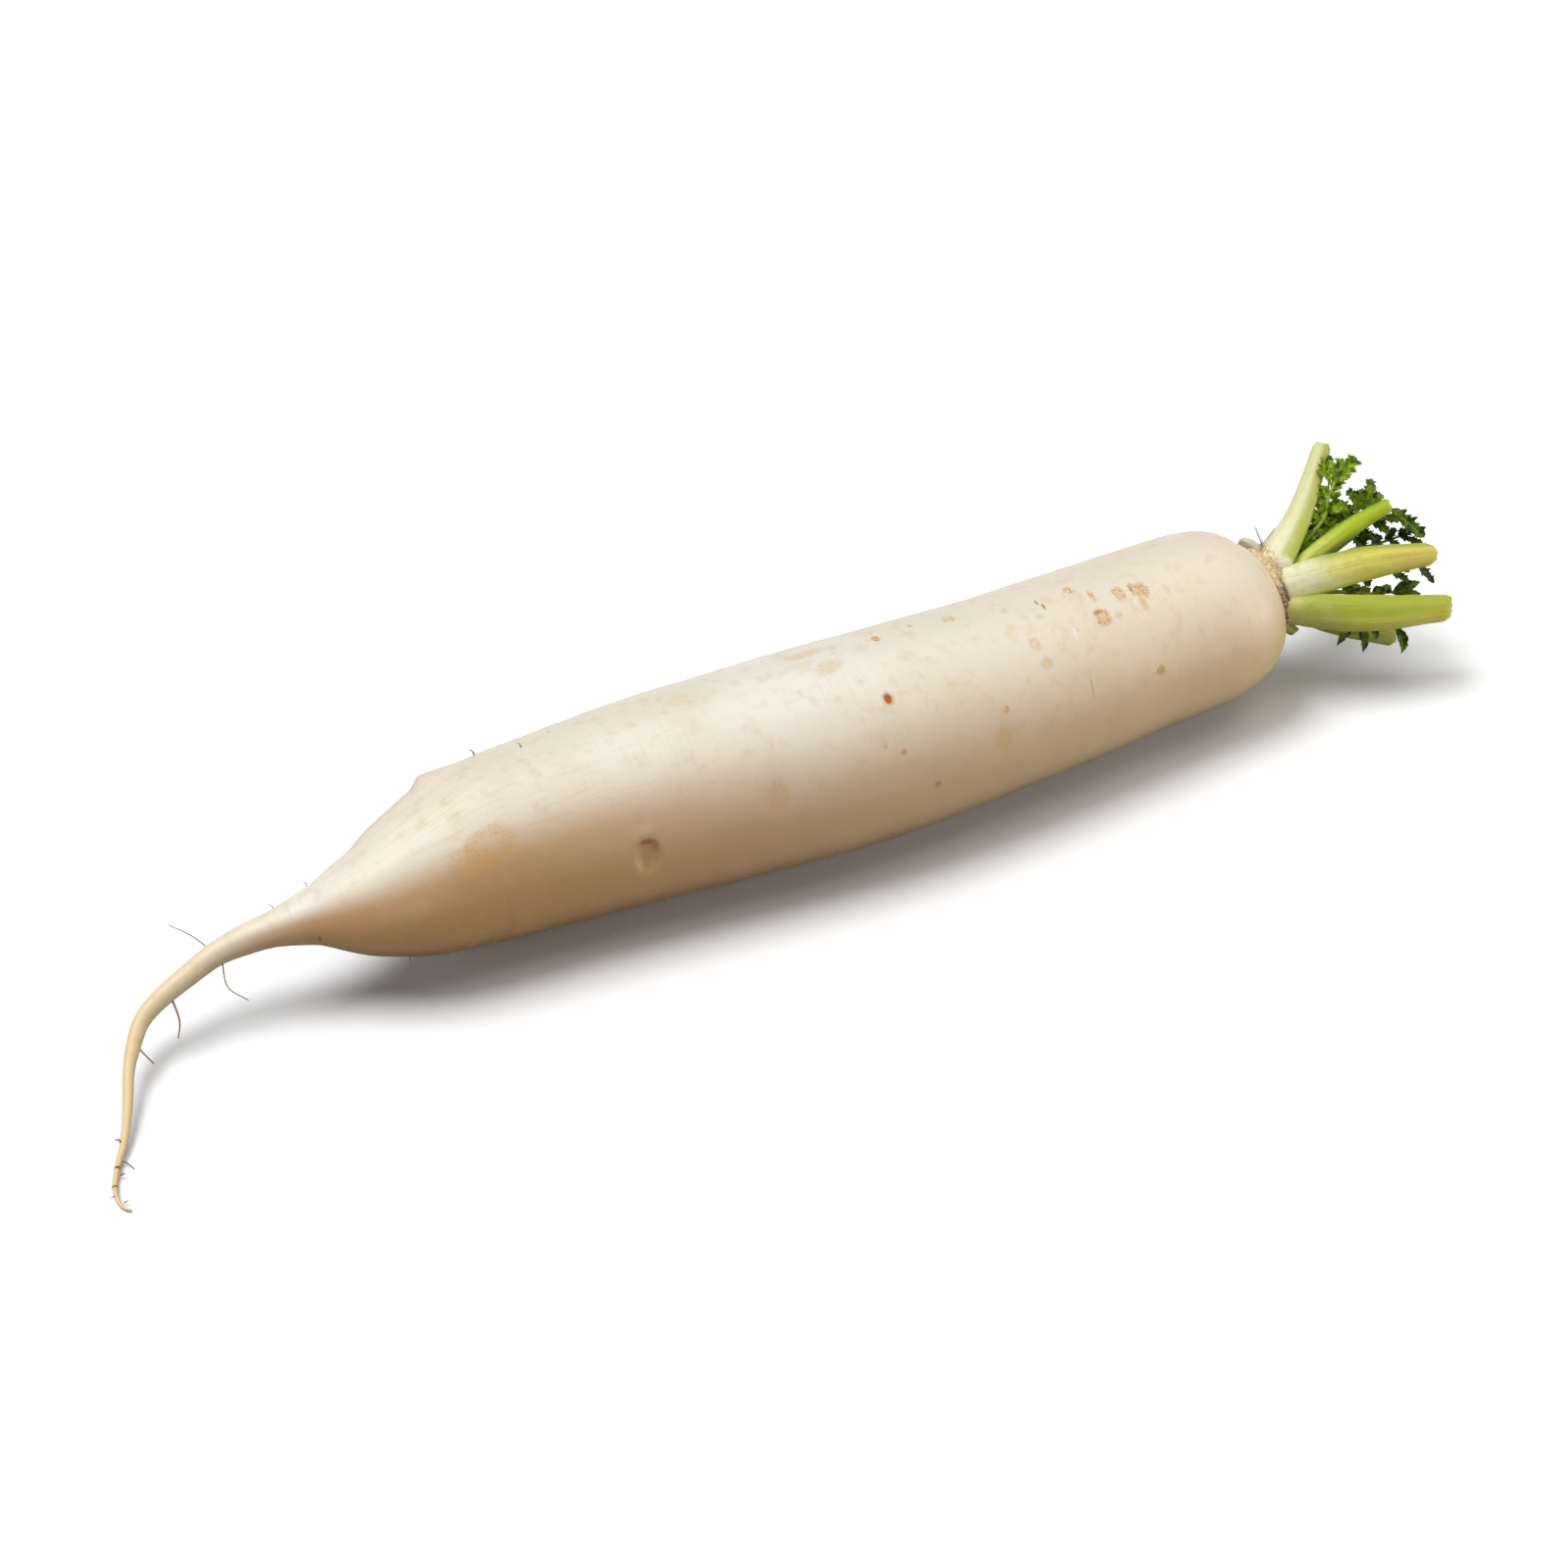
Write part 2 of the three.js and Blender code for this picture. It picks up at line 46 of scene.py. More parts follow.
# Stations of the root from the tip of its tail to its crown: centre x, y, z and radius.
ROOT = [
    (-268.8, -90.3, 0.7, 0.4),
    (-270.6, -88, 0.8, 0.5),
    (-271, -84, 0.9, 0.66),
    (-270, -79, 1, 0.8),
    (-267.5, -73.5, 1.2, 0.9),
    (-265, -69, 1.6, 1.05),
    (-262, -64.5, 2.4, 1.25),
    (-258.5, -57.7, 3.8, 1.45),
    (-254.5, -48.5, 5.8, 1.7),
    (-251, -40, 8, 1.9),
    (-246.8, -33, 10.6, 2.4),
    (-241.6, -26.8, 13.8, 2.8),
    (-234.8, -23.6, 17, 3.2),
    (-224.5, -21, 20.6, 3.6),
    (-213, -19.3, 24.7, 4),
    (-203, -20.3, 27.8, 5),
    (-194, -22.2, 30.1, 6),
    (-182.5, -23.9, 31.6, 9.1),
    (-177.5, -24.8, 32.1, 11.3),
    (-171.4, -25.8, 32.5, 14.5),
    (-161.9, -26.8, 32.8, 18.7),
    (-152.2, -26.3, 33, 22.7),
    (-142, -24.9, 33, 25.8),
    (-132, -23.1, 33, 28.2),
    (-121.9, -21.8, 33, 29.8),
    (-98.5, -20.8, 33, 31.7),
    (-61.8, -21.9, 33.6, 33.7),
    (-31.6, -24, 34.3, 34.8),
    (-0.9, -26.2, 34.8, 35.3),
    (30.9, -26.8, 34.5, 35),
    (63.9, -25.8, 33.8, 34.2),
    (98.2, -23.6, 32.9, 32.9),
    (121.4, -21.8, 32.6, 32.1),
    (144.7, -20.8, 32.7, 31.6),
    (157, -20.6, 33.2, 30.4),
    (165.5, -20.6, 34, 27.8),
    (171.5, -20.5, 34.8, 24.2),
    (176, -20.4, 35.6, 19.6),
    (179, -20.4, 36.2, 14.6),
    (180.6, -20.4, 36.6, 7),
]
ROOT_RINGS = 580
ROOT_SIDES = 150

# Side roots on the tail: root point, bend point, tip and radius.
ROOTLETS = [
    ((-213, -18, 24.6), (-217.5, -10.8, 27.8), (-222.7, -4.3, 29.3), 0.24),
    ((-211.6, -21.6, 24), (-213.1, -29.6, 19.4), (-208.6, -36, 16.8), 0.3),
    ((-230.2, -24.6, 17.2), (-230.4, -31, 13.2), (-232.6, -34.8, 9.6), 0.42),
    ((-245.5, -33, 10), (-244, -37, 8.6), (-242.6, -39.6, 7), 0.36),
    ((-265.2, -69, 1.4), (-263.4, -71, 1.1), (-262, -74.2, 0.8), 0.32),
]

# Fine hairs and nubs of side roots: place on the skin and tip, with the radius at the skin.
HAIRS = [
    ((-113.6, -1.1, 56.1), (-114.8, 0.6, 58.0), 0.35),
    ((-101.6, -12.1, 63.3), (-102.6, -11.2, 64.6), 0.25),
    ((-180.0, -18.2, 39.1), (-181.0, -17.0, 41.2), 0.2),
    ((-192.0, -19.0, 35.2), (-193.5, -17.6, 36.8), 0.2),
    ((-156.0, -41.3, 18.2), (-156.4, -42.6, 16.6), 0.2),
    ((-262.5, -64.0, 3.2), (-264.2, -63.2, 4.4), 0.45),
    ((-266.2, -73.0, 1.9), (-267.8, -72.6, 2.6), 0.4),
    ((-267.0, -75.4, 1.2), (-265.6, -76.0, 1.6), 0.35),
    ((-269.4, -79.6, 1.4), (-271.2, -79.6, 1.9), 0.35),
    ((-271.2, -83.4, 1.2), (-272.8, -83.6, 1.6), 0.3),
    ((-269.8, -86.8, 1.0), (-268.4, -87.0, 1.3), 0.28),
]

# Values painted on the corners of the root and its hairs.
SKIN_VALUES = ("length", "side", "top", "east", "north", "hair")

# The stump of a broken side root on the upper back of the taper: its place on the skin, its
# height, and how far it spreads to the tail, to the crown and across.
STUMP_TIP = (-134.2, -5.6, 53.6)
STUMP_HEIGHT = 3.9
STUMP_REACH = (1.7, 9.0, 6.0)

# Waves of the skin: height, a shift that keeps them apart, and size in each direction.
SKIN_WAVES = [(0.6, 0, 48), (0.12, 300, 14), (0.16, 90, (9, 26, 26))]


# Marks on the skin: place, size along the root, size across it, colour (0 to 255), strength.
TAN = (222, 168, 92)
RUST = (198, 124, 54)
BROWN = (136, 96, 50)
OCHRE = (218, 172, 98)
STRAW = (232, 208, 162)
PINK = (214, 160, 120)
CHALK = (253, 250, 244)
MARKS = [
    ((15.2, -45.4, 64.6), 2.5, 3.0, OCHRE, 0.6),
    ((23.9, -20.1, 69.1), 1.6, 2.2, TAN, 0.9),
    ((37.9, -18.3, 68.2), 0.9, 1.4, TAN, 0.8),
    ((8.9, -55.8, 54.5), 0.8, 1.0, TAN, 0.6),
    ((14.8, -57.8, 51.3), 1.2, 1.1, RUST, 0.65),
    ((25.8, -61.8, 36.4), 1.4, 1.2, RUST, 0.8),
    ((96.4, -23.1, 65.9), 1.9, 2.2, TAN, 0.95),
    ((55.0, -55.2, 52.8), 1.3, 1.6, TAN, 0.75),
    ((117.4, -52.1, 44.7), 2.3, 2.2, OCHRE, 0.95),
    ((101.7, -37.3, 62.6), 3.2, 3.8, TAN, 1.0),
    ((112.2, -30.4, 64.1), 2.3, 3.4, TAN, 0.95),
    ((118.5, -29.8, 63.9), 2.0, 3.2, TAN, 1.0),
    ((117.6, -29.6, 64.0), 0.7, 1.4, BROWN, 0.7),
    ((100.6, -35.4, 63.6), 1.5, 1.3, (206, 140, 66), 0.7),
    ((118.9, -35.6, 61.8), 1.5, 3.4, OCHRE, 0.6),
    ((121.5, -31.0, 63.2), 2.4, 4.0, OCHRE, 0.75),
    ((102.5, -28.4, 65.2), 1.2, 3.2, TAN, 0.7),
    ((108.0, -38.0, 62.0), 1.5, 1.7, STRAW, 0.7),
    ((51.5, -20.3, 68.1), 2.6, 2.4, STRAW, 0.8),
    ((70.7, -24.2, 67.6), 2.0, 2.2, STRAW, 0.6),
    ((80.5, -31.3, 66.4), 1.8, 1.4, STRAW, 0.6),
    ((73.5, -40.7, 63.8), 2.2, 2.6, TAN, 0.55),
    ((74.7, -47.0, 59.5), 2.3, 2.4, OCHRE, 0.5),
    ((129.8, -33.3, 62.2), 1.4, 2.4, STRAW, 0.6),
    ((83.0, -24.6, 67.0), 0.45, 1.6, BROWN, 0.8),
    ((84.2, -27.6, 66.6), 0.5, 1.7, BROWN, 0.9),
    ((89.2, -40.4, 62.3), 0.9, 3.0, CHALK, 0.7),
    ((88.9, -53.8, 48.5), 0.3, 4.2, BROWN, 0.55),
    ((52.3, -59.4, 44.2), 3.8, 5.2, OCHRE, 0.4),
    ((46.5, -60.0, 41.0), 6.5, 6.0, STRAW, 0.25),
    ((-30.4, -56.1, 48.6), 4.6, 5.4, OCHRE, 0.4),
    ((3.1, -27.0, 70.1), 5.5, 3.2, STRAW, 0.6),
    ((-5.0, -22.0, 69.6), 5.0, 2.4, STRAW, 0.35),
    ((-0.6, -15.9, 68.6), 8.5, 3.0, STRAW, 0.6),
    ((-48.7, -18.5, 67.9), 5.0, 3.0, STRAW, 0.4),
    ((-125.9, -42.0, 54.0), 9.0, 7.0, TAN, 0.55),
    ((-132.0, -42.5, 50.0), 9.0, 6.0, OCHRE, 0.5),
    ((-124.4, -51.0, 32.5), 9.0, 7.0, PINK, 0.55),
    ((-112.0, -52.5, 33.0), 8.0, 5.0, PINK, 0.5),
    ((-196.0, -26.0, 26.5), 1.0, 1.2, RUST, 1.0),
    ((-182.5, -34.2, 30.1), 0.8, 1.8, BROWN, 1.0),
    ((-113.6, -1.1, 56.1), 1.2, 1.2, STRAW, 0.8),
    ((-90.0, -8.0, 62.6), 0.8, 0.9, RUST, 0.6),
    ((-135.6, -6.0, 52.0), 0.7, 1.8, RUST, 0.5),
    # The next three lie in the hollow on the body: a rust crescent, partly its own brown and partly
    # painted shadow under the upper rim, a brown patch of painted shade on the right wall, and a
    # straw patch of painted light on the left wall.
    ((-76.2, -52.3, 43.7), 3.0, 1.6, (186, 108, 34), 0.95),
    ((-73.3, -53.0, 41.8), 1.0, 2.8, (176, 122, 66), 0.6),
    ((-79.2, -54.0, 38.2), 1.9, 4.0, STRAW, 0.35),
]

# The orange pit in the skin: its place, its size along and across the root, and its colour.
PIT = (15.3, -45.3, 64.7)
PIT_SIZE = (1.5, 2.1)
PIT_COLOR = (178, 98, 14)

# Tan marks from this size have a rim, and this much of their colour in the middle.
RIM_SIZE = 1.8
RIM_CORE = 0.55

# Hills and, with a height below 0, hollows of the skin: height, place, size along and across
# the root, and 1 for a soft form or 2 for a flat one with a steep edge.
SKIN_FORMS = [
    (-2.5, (-76.4, -53.8, 38.8), (3.9, 5.4), 2),
    (0.35, (-76.4, -51.0, 46.4), (3.6, 1.8), 1),
    (-0.35, (-76.2, -49.9, 49.9), (1.2, 2.6), 1),
    (-0.8, PIT, (1.3, 1.8), 2),
    (0.25, (15.2, -45.4, 64.6), (3.0, 3.2), 1),
    (-0.45, (-30.4, -56.1, 48.6), (5.0, 6.0), 1),
    (-0.3, (52.3, -59.4, 44.2), (4.5, 6.0), 1),
    (0.3, (101.7, -37.3, 62.6), (3.4, 3.8), 1),
]

# The forms above have their full height where the root is at least this thick.
FULL_RELIEF_RADIUS = 30

# Where skin noise gathers into fine flecks: middle of the region and its radius.
FLECK_CENTRE = (108.0, -33.0, 63.0)
FLECK_RADIUS = 26.0

# Where the shoulder is a little yellow-green, and its size along and across.
TINGE = (174.0, -36.0, 18.0)
TINGE_SIZE = (16.0, 26.0)

# The crown: centre of the collar and direction of the stem.
CROWN = np.array([181.6, -20.4, 36.9])
STEM_AXIS = np.array([0.968, -0.083, 0.239]) / np.linalg.norm([0.968, -0.083, 0.239])

# Radius and height pairs of the short stem with its leaf scars.
STEM_PROFILE = [
    (12.5, -5), (14.8, -1.6), (14.5, 0.4), (13.2, 1), (13.6, 1.8), (12, 2.4),
    (12.2, 3.3), (10, 4.2), (6.2, 5.8), (1.5, 6.5),
]

# Dry fibres and torn scales that stand out of the collar.
FIBRES = 80
SCALES = 36

# One long dark hair that stands up behind the collar, as offsets from the crown's centre.
LONG_HAIR = [(-1.6, 5.4, 9.6), (-0.2, 6.7, 12.3), (0.6, 8, 14.1), (0.4, 9.9, 16), (0.3, 12, 18.1)]

# Stalks, as offsets from the crown's centre: base, bend, tip, widths, depths, lean of the cut,
# and the colours of their base, middle and tip. Two have no greener edges, and one has a green
# strip down one side.
STALKS = {
    "stalk_top": dict(
        base=(1.4, -0.2, 10.8), bend=(20.4, 13.2, 18.6), tip=(37.4, 27.7, 32.2),
        width=(13, 9.4, 6), depth=(7, 6.4, 5), slant=0.2, strip=0.9, edge=0.0,
        colors=[(246, 242, 210), (240, 236, 182), (234, 230, 160)]),
    "stalk_front_upper": dict(
        base=(2.2, -7.6, 5.4), bend=(27.6, -14.6, 10), tip=(52, -22.3, 11.7),
        width=(13, 12.4, 8), depth=(9, 9, 7), slant=-0.5,
        colors=[(246, 244, 206), (232, 226, 106), (226, 208, 98)]),
    "stalk_front_lower": dict(
        base=(2, -9, -4.2), bend=(23.4, -23.6, -3.8), tip=(54, -34, -4.8),
        width=(18, 13.6, 9), depth=(9.5, 11.6, 8.6), slant=0.15,
        colors=[(216, 214, 136), (216, 220, 82), (228, 220, 92)]),
    "stalk_slim": dict(
        base=(4.6, -3.2, 5.4), bend=(29.1, -0.5, 14.2), tip=(47.8, -0.9, 20.8),
        width=(6.6, 6.6, 5), depth=(5.6, 5.6, 4.6), slant=0.1,
        colors=[(228, 230, 130), (184, 206, 14), (178, 196, 14)]),
    "stalk_bottom": dict(
        base=(4.6, 0.8, -8.4), bend=(21.9, -14.4, -14.2), tip=(40, -22.3, -21.4),
        width=(11, 9, 7), depth=(6.6, 6.4, 5.4), slant=0.3,
        colors=[(206, 210, 124), (190, 196, 86), (196, 196, 90)]),
    "stalk_back_upper": dict(
        base=(1.2, 6.2, 8.8), bend=(14, 14.6, 8.9), tip=(29.2, 21.6, 10),
        width=(9.5, 8, 6.4), depth=(5.5, 5.5, 5), slant=0.3,
        colors=[(222, 214, 180), (196, 186, 108), (176, 170, 84)]),
    "stalk_back": dict(
        base=(4.2, 10, -1.2), bend=(22, 20, -3.2), tip=(42, 28, -6),
        width=(10, 8, 6.4), depth=(6, 6.4, 5), slant=-0.3,
        colors=[(226, 226, 190), (172, 182, 82), (168, 176, 80)]),
    "stub_front": dict(
        base=(1.2, -9.6, -10), bend=(2.8, -11, -11.8), tip=(4.4, -12.2, -13.4),
        width=(5.6, 5, 4), depth=(3.6, 3.4, 3), slant=0.4,
        colors=[(214, 216, 150), (196, 200, 112), (150, 150, 74)]),
    "stub_back": dict(
        base=(0, 10.4, 9), bend=(-2, 12.6, 11.2), tip=(-4, 14, 12.6),
        width=(7, 6.4, 4.4), depth=(3.4, 3, 2.2), slant=0.3, edge=0.0,
        colors=[(248, 246, 230), (248, 246, 230), (244, 242, 220)]),
}
EDGE_GREEN = 0.75
STALK_RINGS = 70
STALK_SIDES = 48

# Rings of a stalk inside the stem, and over its cut: share of the full size, and how far each
# one stands along the stalk from its base or from its cut.
GROWN_SHRINK = [0.3, 0.52, 0.7, 0.84, 0.95]
GROWN_SINK = [-3.6, -3.3, -2.6, -1.6, -0.7]
CUT_SHRINK = [0.97, 0.86, 0.6, 0.3, 0.08]
CUT_SINK = [0.02, -0.1, -0.35, -0.5, -0.55]
CUT_EDGE = 0.82
CUT_ROUGHNESS = 0.5

# Young leaves. Rib points are offsets from the crown's centre, face is where the blades look
# to, and seed gives each leaf its own draws. Its large leaflets are toothed or plain, and those
# that are lobed have lobes. Each has its place along the rib, the angle that it turns out from
# the rib, its length and its half width. Some have two more values: the angle by which the tip
# hooks, and the share that is bare stalk. Small leaflets stand between them: first and last
# place, count and length. The colours are those of dark and of young leaflets. The leaves under
# and behind have far darker colours than the rest, and the one in front darker ones than the tall,
# middle and curled leaves, which paints the shade that they lie in.
LEAVES = {
    "young_leaf_tall": dict(
        rib=[(5, 1.2, 5.6), (25.1, 7.3, 15.1), (29.6, 10.7, 21.2), (35.5, 15.1, 26.7)],
        face=(-0.3, -0.7, 0.62), seed=1, toothed=True, lobed=True, small=(0.08, 0.75, 13, 6.2),
        colors=[(74, 122, 4), (196, 232, 36)],
        leaflets=[
            (0.69, -19, 16.4, 3.5, 0, 0.35), (0.91, 18, 12.4, 3.5), (0.72, 9, 9.9, 2.9, 0, 0.2),
            (0.62, -49, 10.3, 1.6, 0, 0.3), (0.96, -10, 8.2, 1.2), (0.32, -75, 6.3, 1.4),
            (0.4, -48, 7.1, 1.6), (0.28, 170, 7.2, 1.8),
        ]),
    "young_leaf_middle": dict(
        rib=[(5.8, 3.6, 1.8), (28.8, 6.6, 7.8), (40, 9.2, 12), (48.5, 10.7, 15.1)],
        face=(-0.4, -0.66, 0.62), seed=2, toothed=True, lobed=True, small=(0.2, 0.95, 14, 5.8),
        colors=[(64, 112, 4), (200, 234, 50)],
        leaflets=[
            (0.96, -45, 8.5, 2.7), (0.89, -99, 8.4, 2.2), (0.79, -41, 7.8, 2), (0.96, 12, 6.2, 2),
            (0.84, 26, 7.1, 2), (0.64, -101, 8, 2.2), (0.61, -45, 5.5, 2.2), (0.48, 32, 5.6, 2.2),
            (0.72, -48, 6.5, 2), (0.51, -59, 6.3, 2.2),
        ]),
    "young_leaf_curled": dict(
        rib=[(5.8, -0.2, 3.6), (20.7, 3.6, 6.5), (24.5, 4.9, 10), (27.9, 6.2, 13.1)],
        face=(-0.5, -0.6, 0.62), seed=3, toothed=True, lobed=True, small=(0.2, 0.95, 14, 5.6),
        colors=[(60, 108, 8), (190, 228, 66)],
        leaflets=[
            (0.84, -59, 5.5, 2, 20), (0.96, -14, 7.1, 2.2), (0.7, -90, 4.7, 1.8, -20),
            (0.91, 16, 6.6, 2), (0.78, 47, 5.8, 2), (0.51, -106, 3.7, 1.8), (0.42, 15, 4.7, 1.8),
        ]),
    "young_leaf_long": dict(
        rib=[(5.8, -4, 1.6), (30.5, -0.5, 8.9), (42.4, 0.7, 13.6), (51.1, 1.2, 17.3)],
        face=(-0.2, -0.66, 0.72), seed=4, toothed=True, lobed=False, small=(0.35, 0.8, 5, 4.6),
        colors=[(54, 90, 6), (140, 176, 34)],
        leaflets=[
            (0.96, 73, 16.5, 3.3), (0.78, 46, 7.7, 2), (0.67, 66, 7.2, 2.2), (0.52, 70, 5.8, 2.2),
            (0.41, 80, 5.7, 2), (0.72, -80, 4.1, 1.8),
        ]),
    # Painted shade: this leaf and the next are far darker green.
    "young_leaf_under": dict(
        rib=[(6.2, 1.4, -1), (32.1, 0.9, 3.6), (43.2, -0.9, 4.5), (54.1, -3, 6.6)],
        face=(-0.3, -0.62, 0.72), seed=5, toothed=True, lobed=False, small=(0.45, 0.8, 3, 4.0),
        colors=[(40, 56, 16), (88, 106, 36)],
        leaflets=[
            (0.96, -13, 6, 2.2), (0.96, 37, 8.9, 1.6), (0.81, -37, 5.9, 1.8),
            (0.84, 49, 4.4, 1.6), (0.64, -35, 5.4, 2.2), (0.68, 43, 4.3, 1.6),
            (0.46, -44, 5.3, 2.2), (0.95, -51, 3.5, 1.2),
        ]),
    "young_leaf_behind": dict(
        rib=[(5.6, -5.2, 1), (28.3, -5.3, 1.2), (41.7, -9.9, 1.9), (53.6, -13.6, 2.9)],
        face=(-0.3, -0.6, 0.74), seed=6, toothed=True, lobed=False, small=(0.4, 0.8, 2, 4.0),
        colors=[(40, 58, 18), (92, 110, 40)],
        leaflets=[
            (0.96, 60, 10.8, 1.9), (0.66, 39, 11, 2), (0.42, 60, 8.2, 2.2),
        ]),
    # Painted shade: this leaf is darker green than the tall, middle and curled ones.
    "young_leaf_front": dict(
        rib=[(5.6, -5.2, -1), (21, -10.6, -2.3), (32.5, -14.3, -4.6), (42.4, -18, -4.7)],
        face=(0, -0.6, 0.8), seed=7, toothed=False, lobed=False, small=(0.4, 0.8, 2, 4.0),
        colors=[(58, 88, 10), (150, 180, 40)],
        leaflets=[
            (0.96, -15, 10.4, 2.2), (0.85, -44, 3.9, 1.8), (0.72, -24, 5, 1.6),
            (0.55, -22, 6.7, 1.6), (0.94, 8, 10.5, 1.8), (0.42, -24, 6.8, 2),
            (0.94, 14, 14.9, 1.4),
        ]),
    "young_leaf_low": dict(
        rib=[(6.1, -2.2, -3.6), (16, -8.8, -6.1), (20.8, -15.4, -10.3),
             (28.4, -21.9, -12.9), (40.2, -26.1, -14.5)],
        face=(-0.33, -0.7, 0.63), seed=8, toothed=False, lobed=False, small=(0.6, 0.8, 2, 3.6),
        colors=[(60, 86, 18), (140, 166, 60)],
        leaflets=[
            (0.62, 102, 9.4, 1.5), (0.69, 47, 10, 1.6, 45), (0.96, 55, 10.8, 1.9, 60),
        ]),
}
# Side lobes of a leaflet: place along it and the angle that they turn out by.
LOBES = [(0.16, -60), (0.2, 58), (0.42, -52), (0.48, 50), (0.68, -44), (0.72, 42)]
# Leaflets above the first length have the first of two meshes, given as rows along them and on
# each side of their middle. Leaflets above the second length can have lobes.
LARGE_LEAFLET = 5
LOBED_LEAFLET = 4.5
BLADE_MESH = [(57, 6), (29, 3)]

# Where a leaflet bends, as a share of its length, its teeth on each side, and its thickness.
LEAFLET_BEND = 0.55
LARGE_TEETH = 3
SMALL_TEETH = 7
BLADE_THICKNESS = 0.36


# Points, curves and frames
def unit(vectors):
    return vectors / np.linalg.norm(vectors, axis=-1, keepdims=True)


def smooth_curve(points):
    """The smooth curve through evenly counted points, as a function of shares from 0 to 1."""
    points = np.asarray(points, float)
    ends = np.vstack([2 * points[0] - points[1], points, 2 * points[-1] - points[-2]])

    def at(t):
        place = np.clip(np.atleast_1d(t), 0, 1) * (len(points) - 1)
        first = np.minimum(place.astype(int), len(points) - 2)
        w = (place - first)[:, None]
        before, start, stop, after = (ends[first + k] for k in range(4))
        leave = (stop - before) / 2
        reach = (after - start) / 2
        bow = 3 * (stop - start) - 2 * leave - reach
        twist = 2 * (start - stop) + leave + reach
        return start + leave * w + bow * w**2 + twist * w**3

    return at


def bent_curve(start, bend, stop):
    """A curve from start to stop that is pulled towards one bend point."""

    def at(t):
        w = np.atleast_1d(t)[:, None]
        return (1 - w) ** 2 * start + 2 * w * (1 - w) * bend + w**2 * stop

    return at


def frames(curve, t, top):
    """Origin, direction, side and top of the curve at each share t."""
    step = 1e-4
    t = np.atleast_1d(t)
    origin = curve(t)
    along = unit(curve(np.minimum(t + step, 1)) - curve(np.maximum(t - step, 0)))
    side = unit(np.cross(along, top))
    return origin, along, side, np.cross(side, along)


def even_shares(curve, count):
    """Shares along a curve that stand evenly apart in length."""
    fine = np.linspace(0, 1, 4000)
    steps = np.linalg.norm(np.diff(curve(fine)[:, :3], axis=0), axis=1)
    length = np.concatenate([[0], np.cumsum(steps)])
    return np.interp(np.linspace(0, length[-1], count), length, fine), length[-1]


def noise_at(points, scale):
    """Smooth noise from about -1 to 1 at each point, with one scale or one for each axis."""
    flat = (np.asarray(points) / np.asarray(scale)).reshape(-1, 3)
    values = np.array([noise.noise(Vector(point)) for point in flat])
    return values.reshape(np.asarray(points).shape[:-1])


def draw(seed):
    """A repeatable draw between 0 and 1."""
    wave = math.sin(seed * 12.9898) * 43758.5453
    return wave - math.floor(wave)


# Objects and meshes
def add_object(name, data):
    thing = bpy.data.objects.new(name, data)
    bpy.context.scene.collection.objects.link(thing)
    return thing


def aim(thing, back):
    """Turns a lamp or the camera so that its back looks along a direction."""
    thing.rotation_mode = "QUATERNION"
    thing.rotation_quaternion = back.to_track_quat("Z", "Y")


class Form:
    """Corners, faces and painted values of one piece, in millimetres."""

    def __init__(self, *names):
        self.corners = []
        self.faces = []
        self.values = {name: [] for name in names}
        self.count = 0

    def add_corners(self, points, values):
        points = np.asarray(points, float).reshape(-1, 3)
        self.corners.append(points)
        for name, kept in self.values.items():
            kept.append(np.broadcast_to(values.get(name, 0.0), len(points)).astype(float))
        first = self.count
        self.count += len(points)
        return first

    def add_tube(self, points, **values):
        """A closed tube through rings of points, given as an array of rings, sides and x y z."""
        rings, sides = points.shape[:2]
        flat = {name: np.broadcast_to(v, (rings, sides)).ravel() for name, v in values.items()}
        first = self.add_corners(points, flat)
        ends = {}
        for ring in (0, rings - 1):
            middle = points[ring].mean(axis=0)
            at_ring = slice(ring * sides, (ring + 1) * sides)
            ends[ring] = self.add_corners(
                middle, {name: v[at_ring].mean() for name, v in flat.items()})
        for ring in range(rings - 1):
            low = first + ring * sides
            for j in range(sides):
                k = (j + 1) % sides
                self.faces.append((low + j, low + k, low + sides + k, low + sides + j))
        high = first + (rings - 1) * sides
        for j in range(sides):
            k = (j + 1) % sides
            self.faces.append((ends[0], first + k, first + j))
            self.faces.append((ends[rings - 1], high + j, high + k))

    def build(self, name, replaced, sharp=50):
        points = (np.vstack(self.corners) + OFFSET) * MM
        mesh = bpy.data.meshes.new(name)
        mesh.from_pydata(points.tolist(), [], self.faces)
        for value, parts in self.values.items():
            layer = mesh.attributes.new(value, "FLOAT", "POINT")
            layer.data.foreach_set("value", np.concatenate(parts))
        mesh.shade_smooth()
        mesh.set_sharp_from_angle(angle=math.radians(sharp))
        piece = add_object(name, mesh)
        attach(piece, "root")
        if replaced:
            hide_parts(*replaced)
        return piece


def ring_angles(sides):
    return np.arange(sides) * TURN / sides


def round_tube(curve, shares, radii, top, sides):
    """Rings of points round a curve, one radius for each share."""
    origin, _, side, up = frames(curve, shares, top)
    angle = ring_angles(sides)[None, :, None]
    ring = np.sin(angle) * side[:, None] + np.cos(angle) * up[:, None]
    return origin[:, None] + np.asarray(radii)[:, None, None] * ring


# The root
def hill_at(points, centre, sizes, steepness):
    """A hill of height 1 with its size along and across the root: soft at 1, and flat at 2."""
    offset = (points - np.asarray(centre)) / np.array([sizes[0], sizes[1], sizes[1]])
    return np.exp(-((offset**2).sum(axis=-1) ** steepness))


def cone_at(points, tip, reach):
    """A pointed hill of height 1 with its own reach to the tail, to the crown and across."""
    offset = points - np.asarray(tip)
    along = np.where(offset[..., 0] < 0, offset[..., 0] / reach[0], offset[..., 0] / reach[1])
    across = np.hypot(offset[..., 1], offset[..., 2]) / reach[2]
    return np.exp(-np.hypot(along, across))


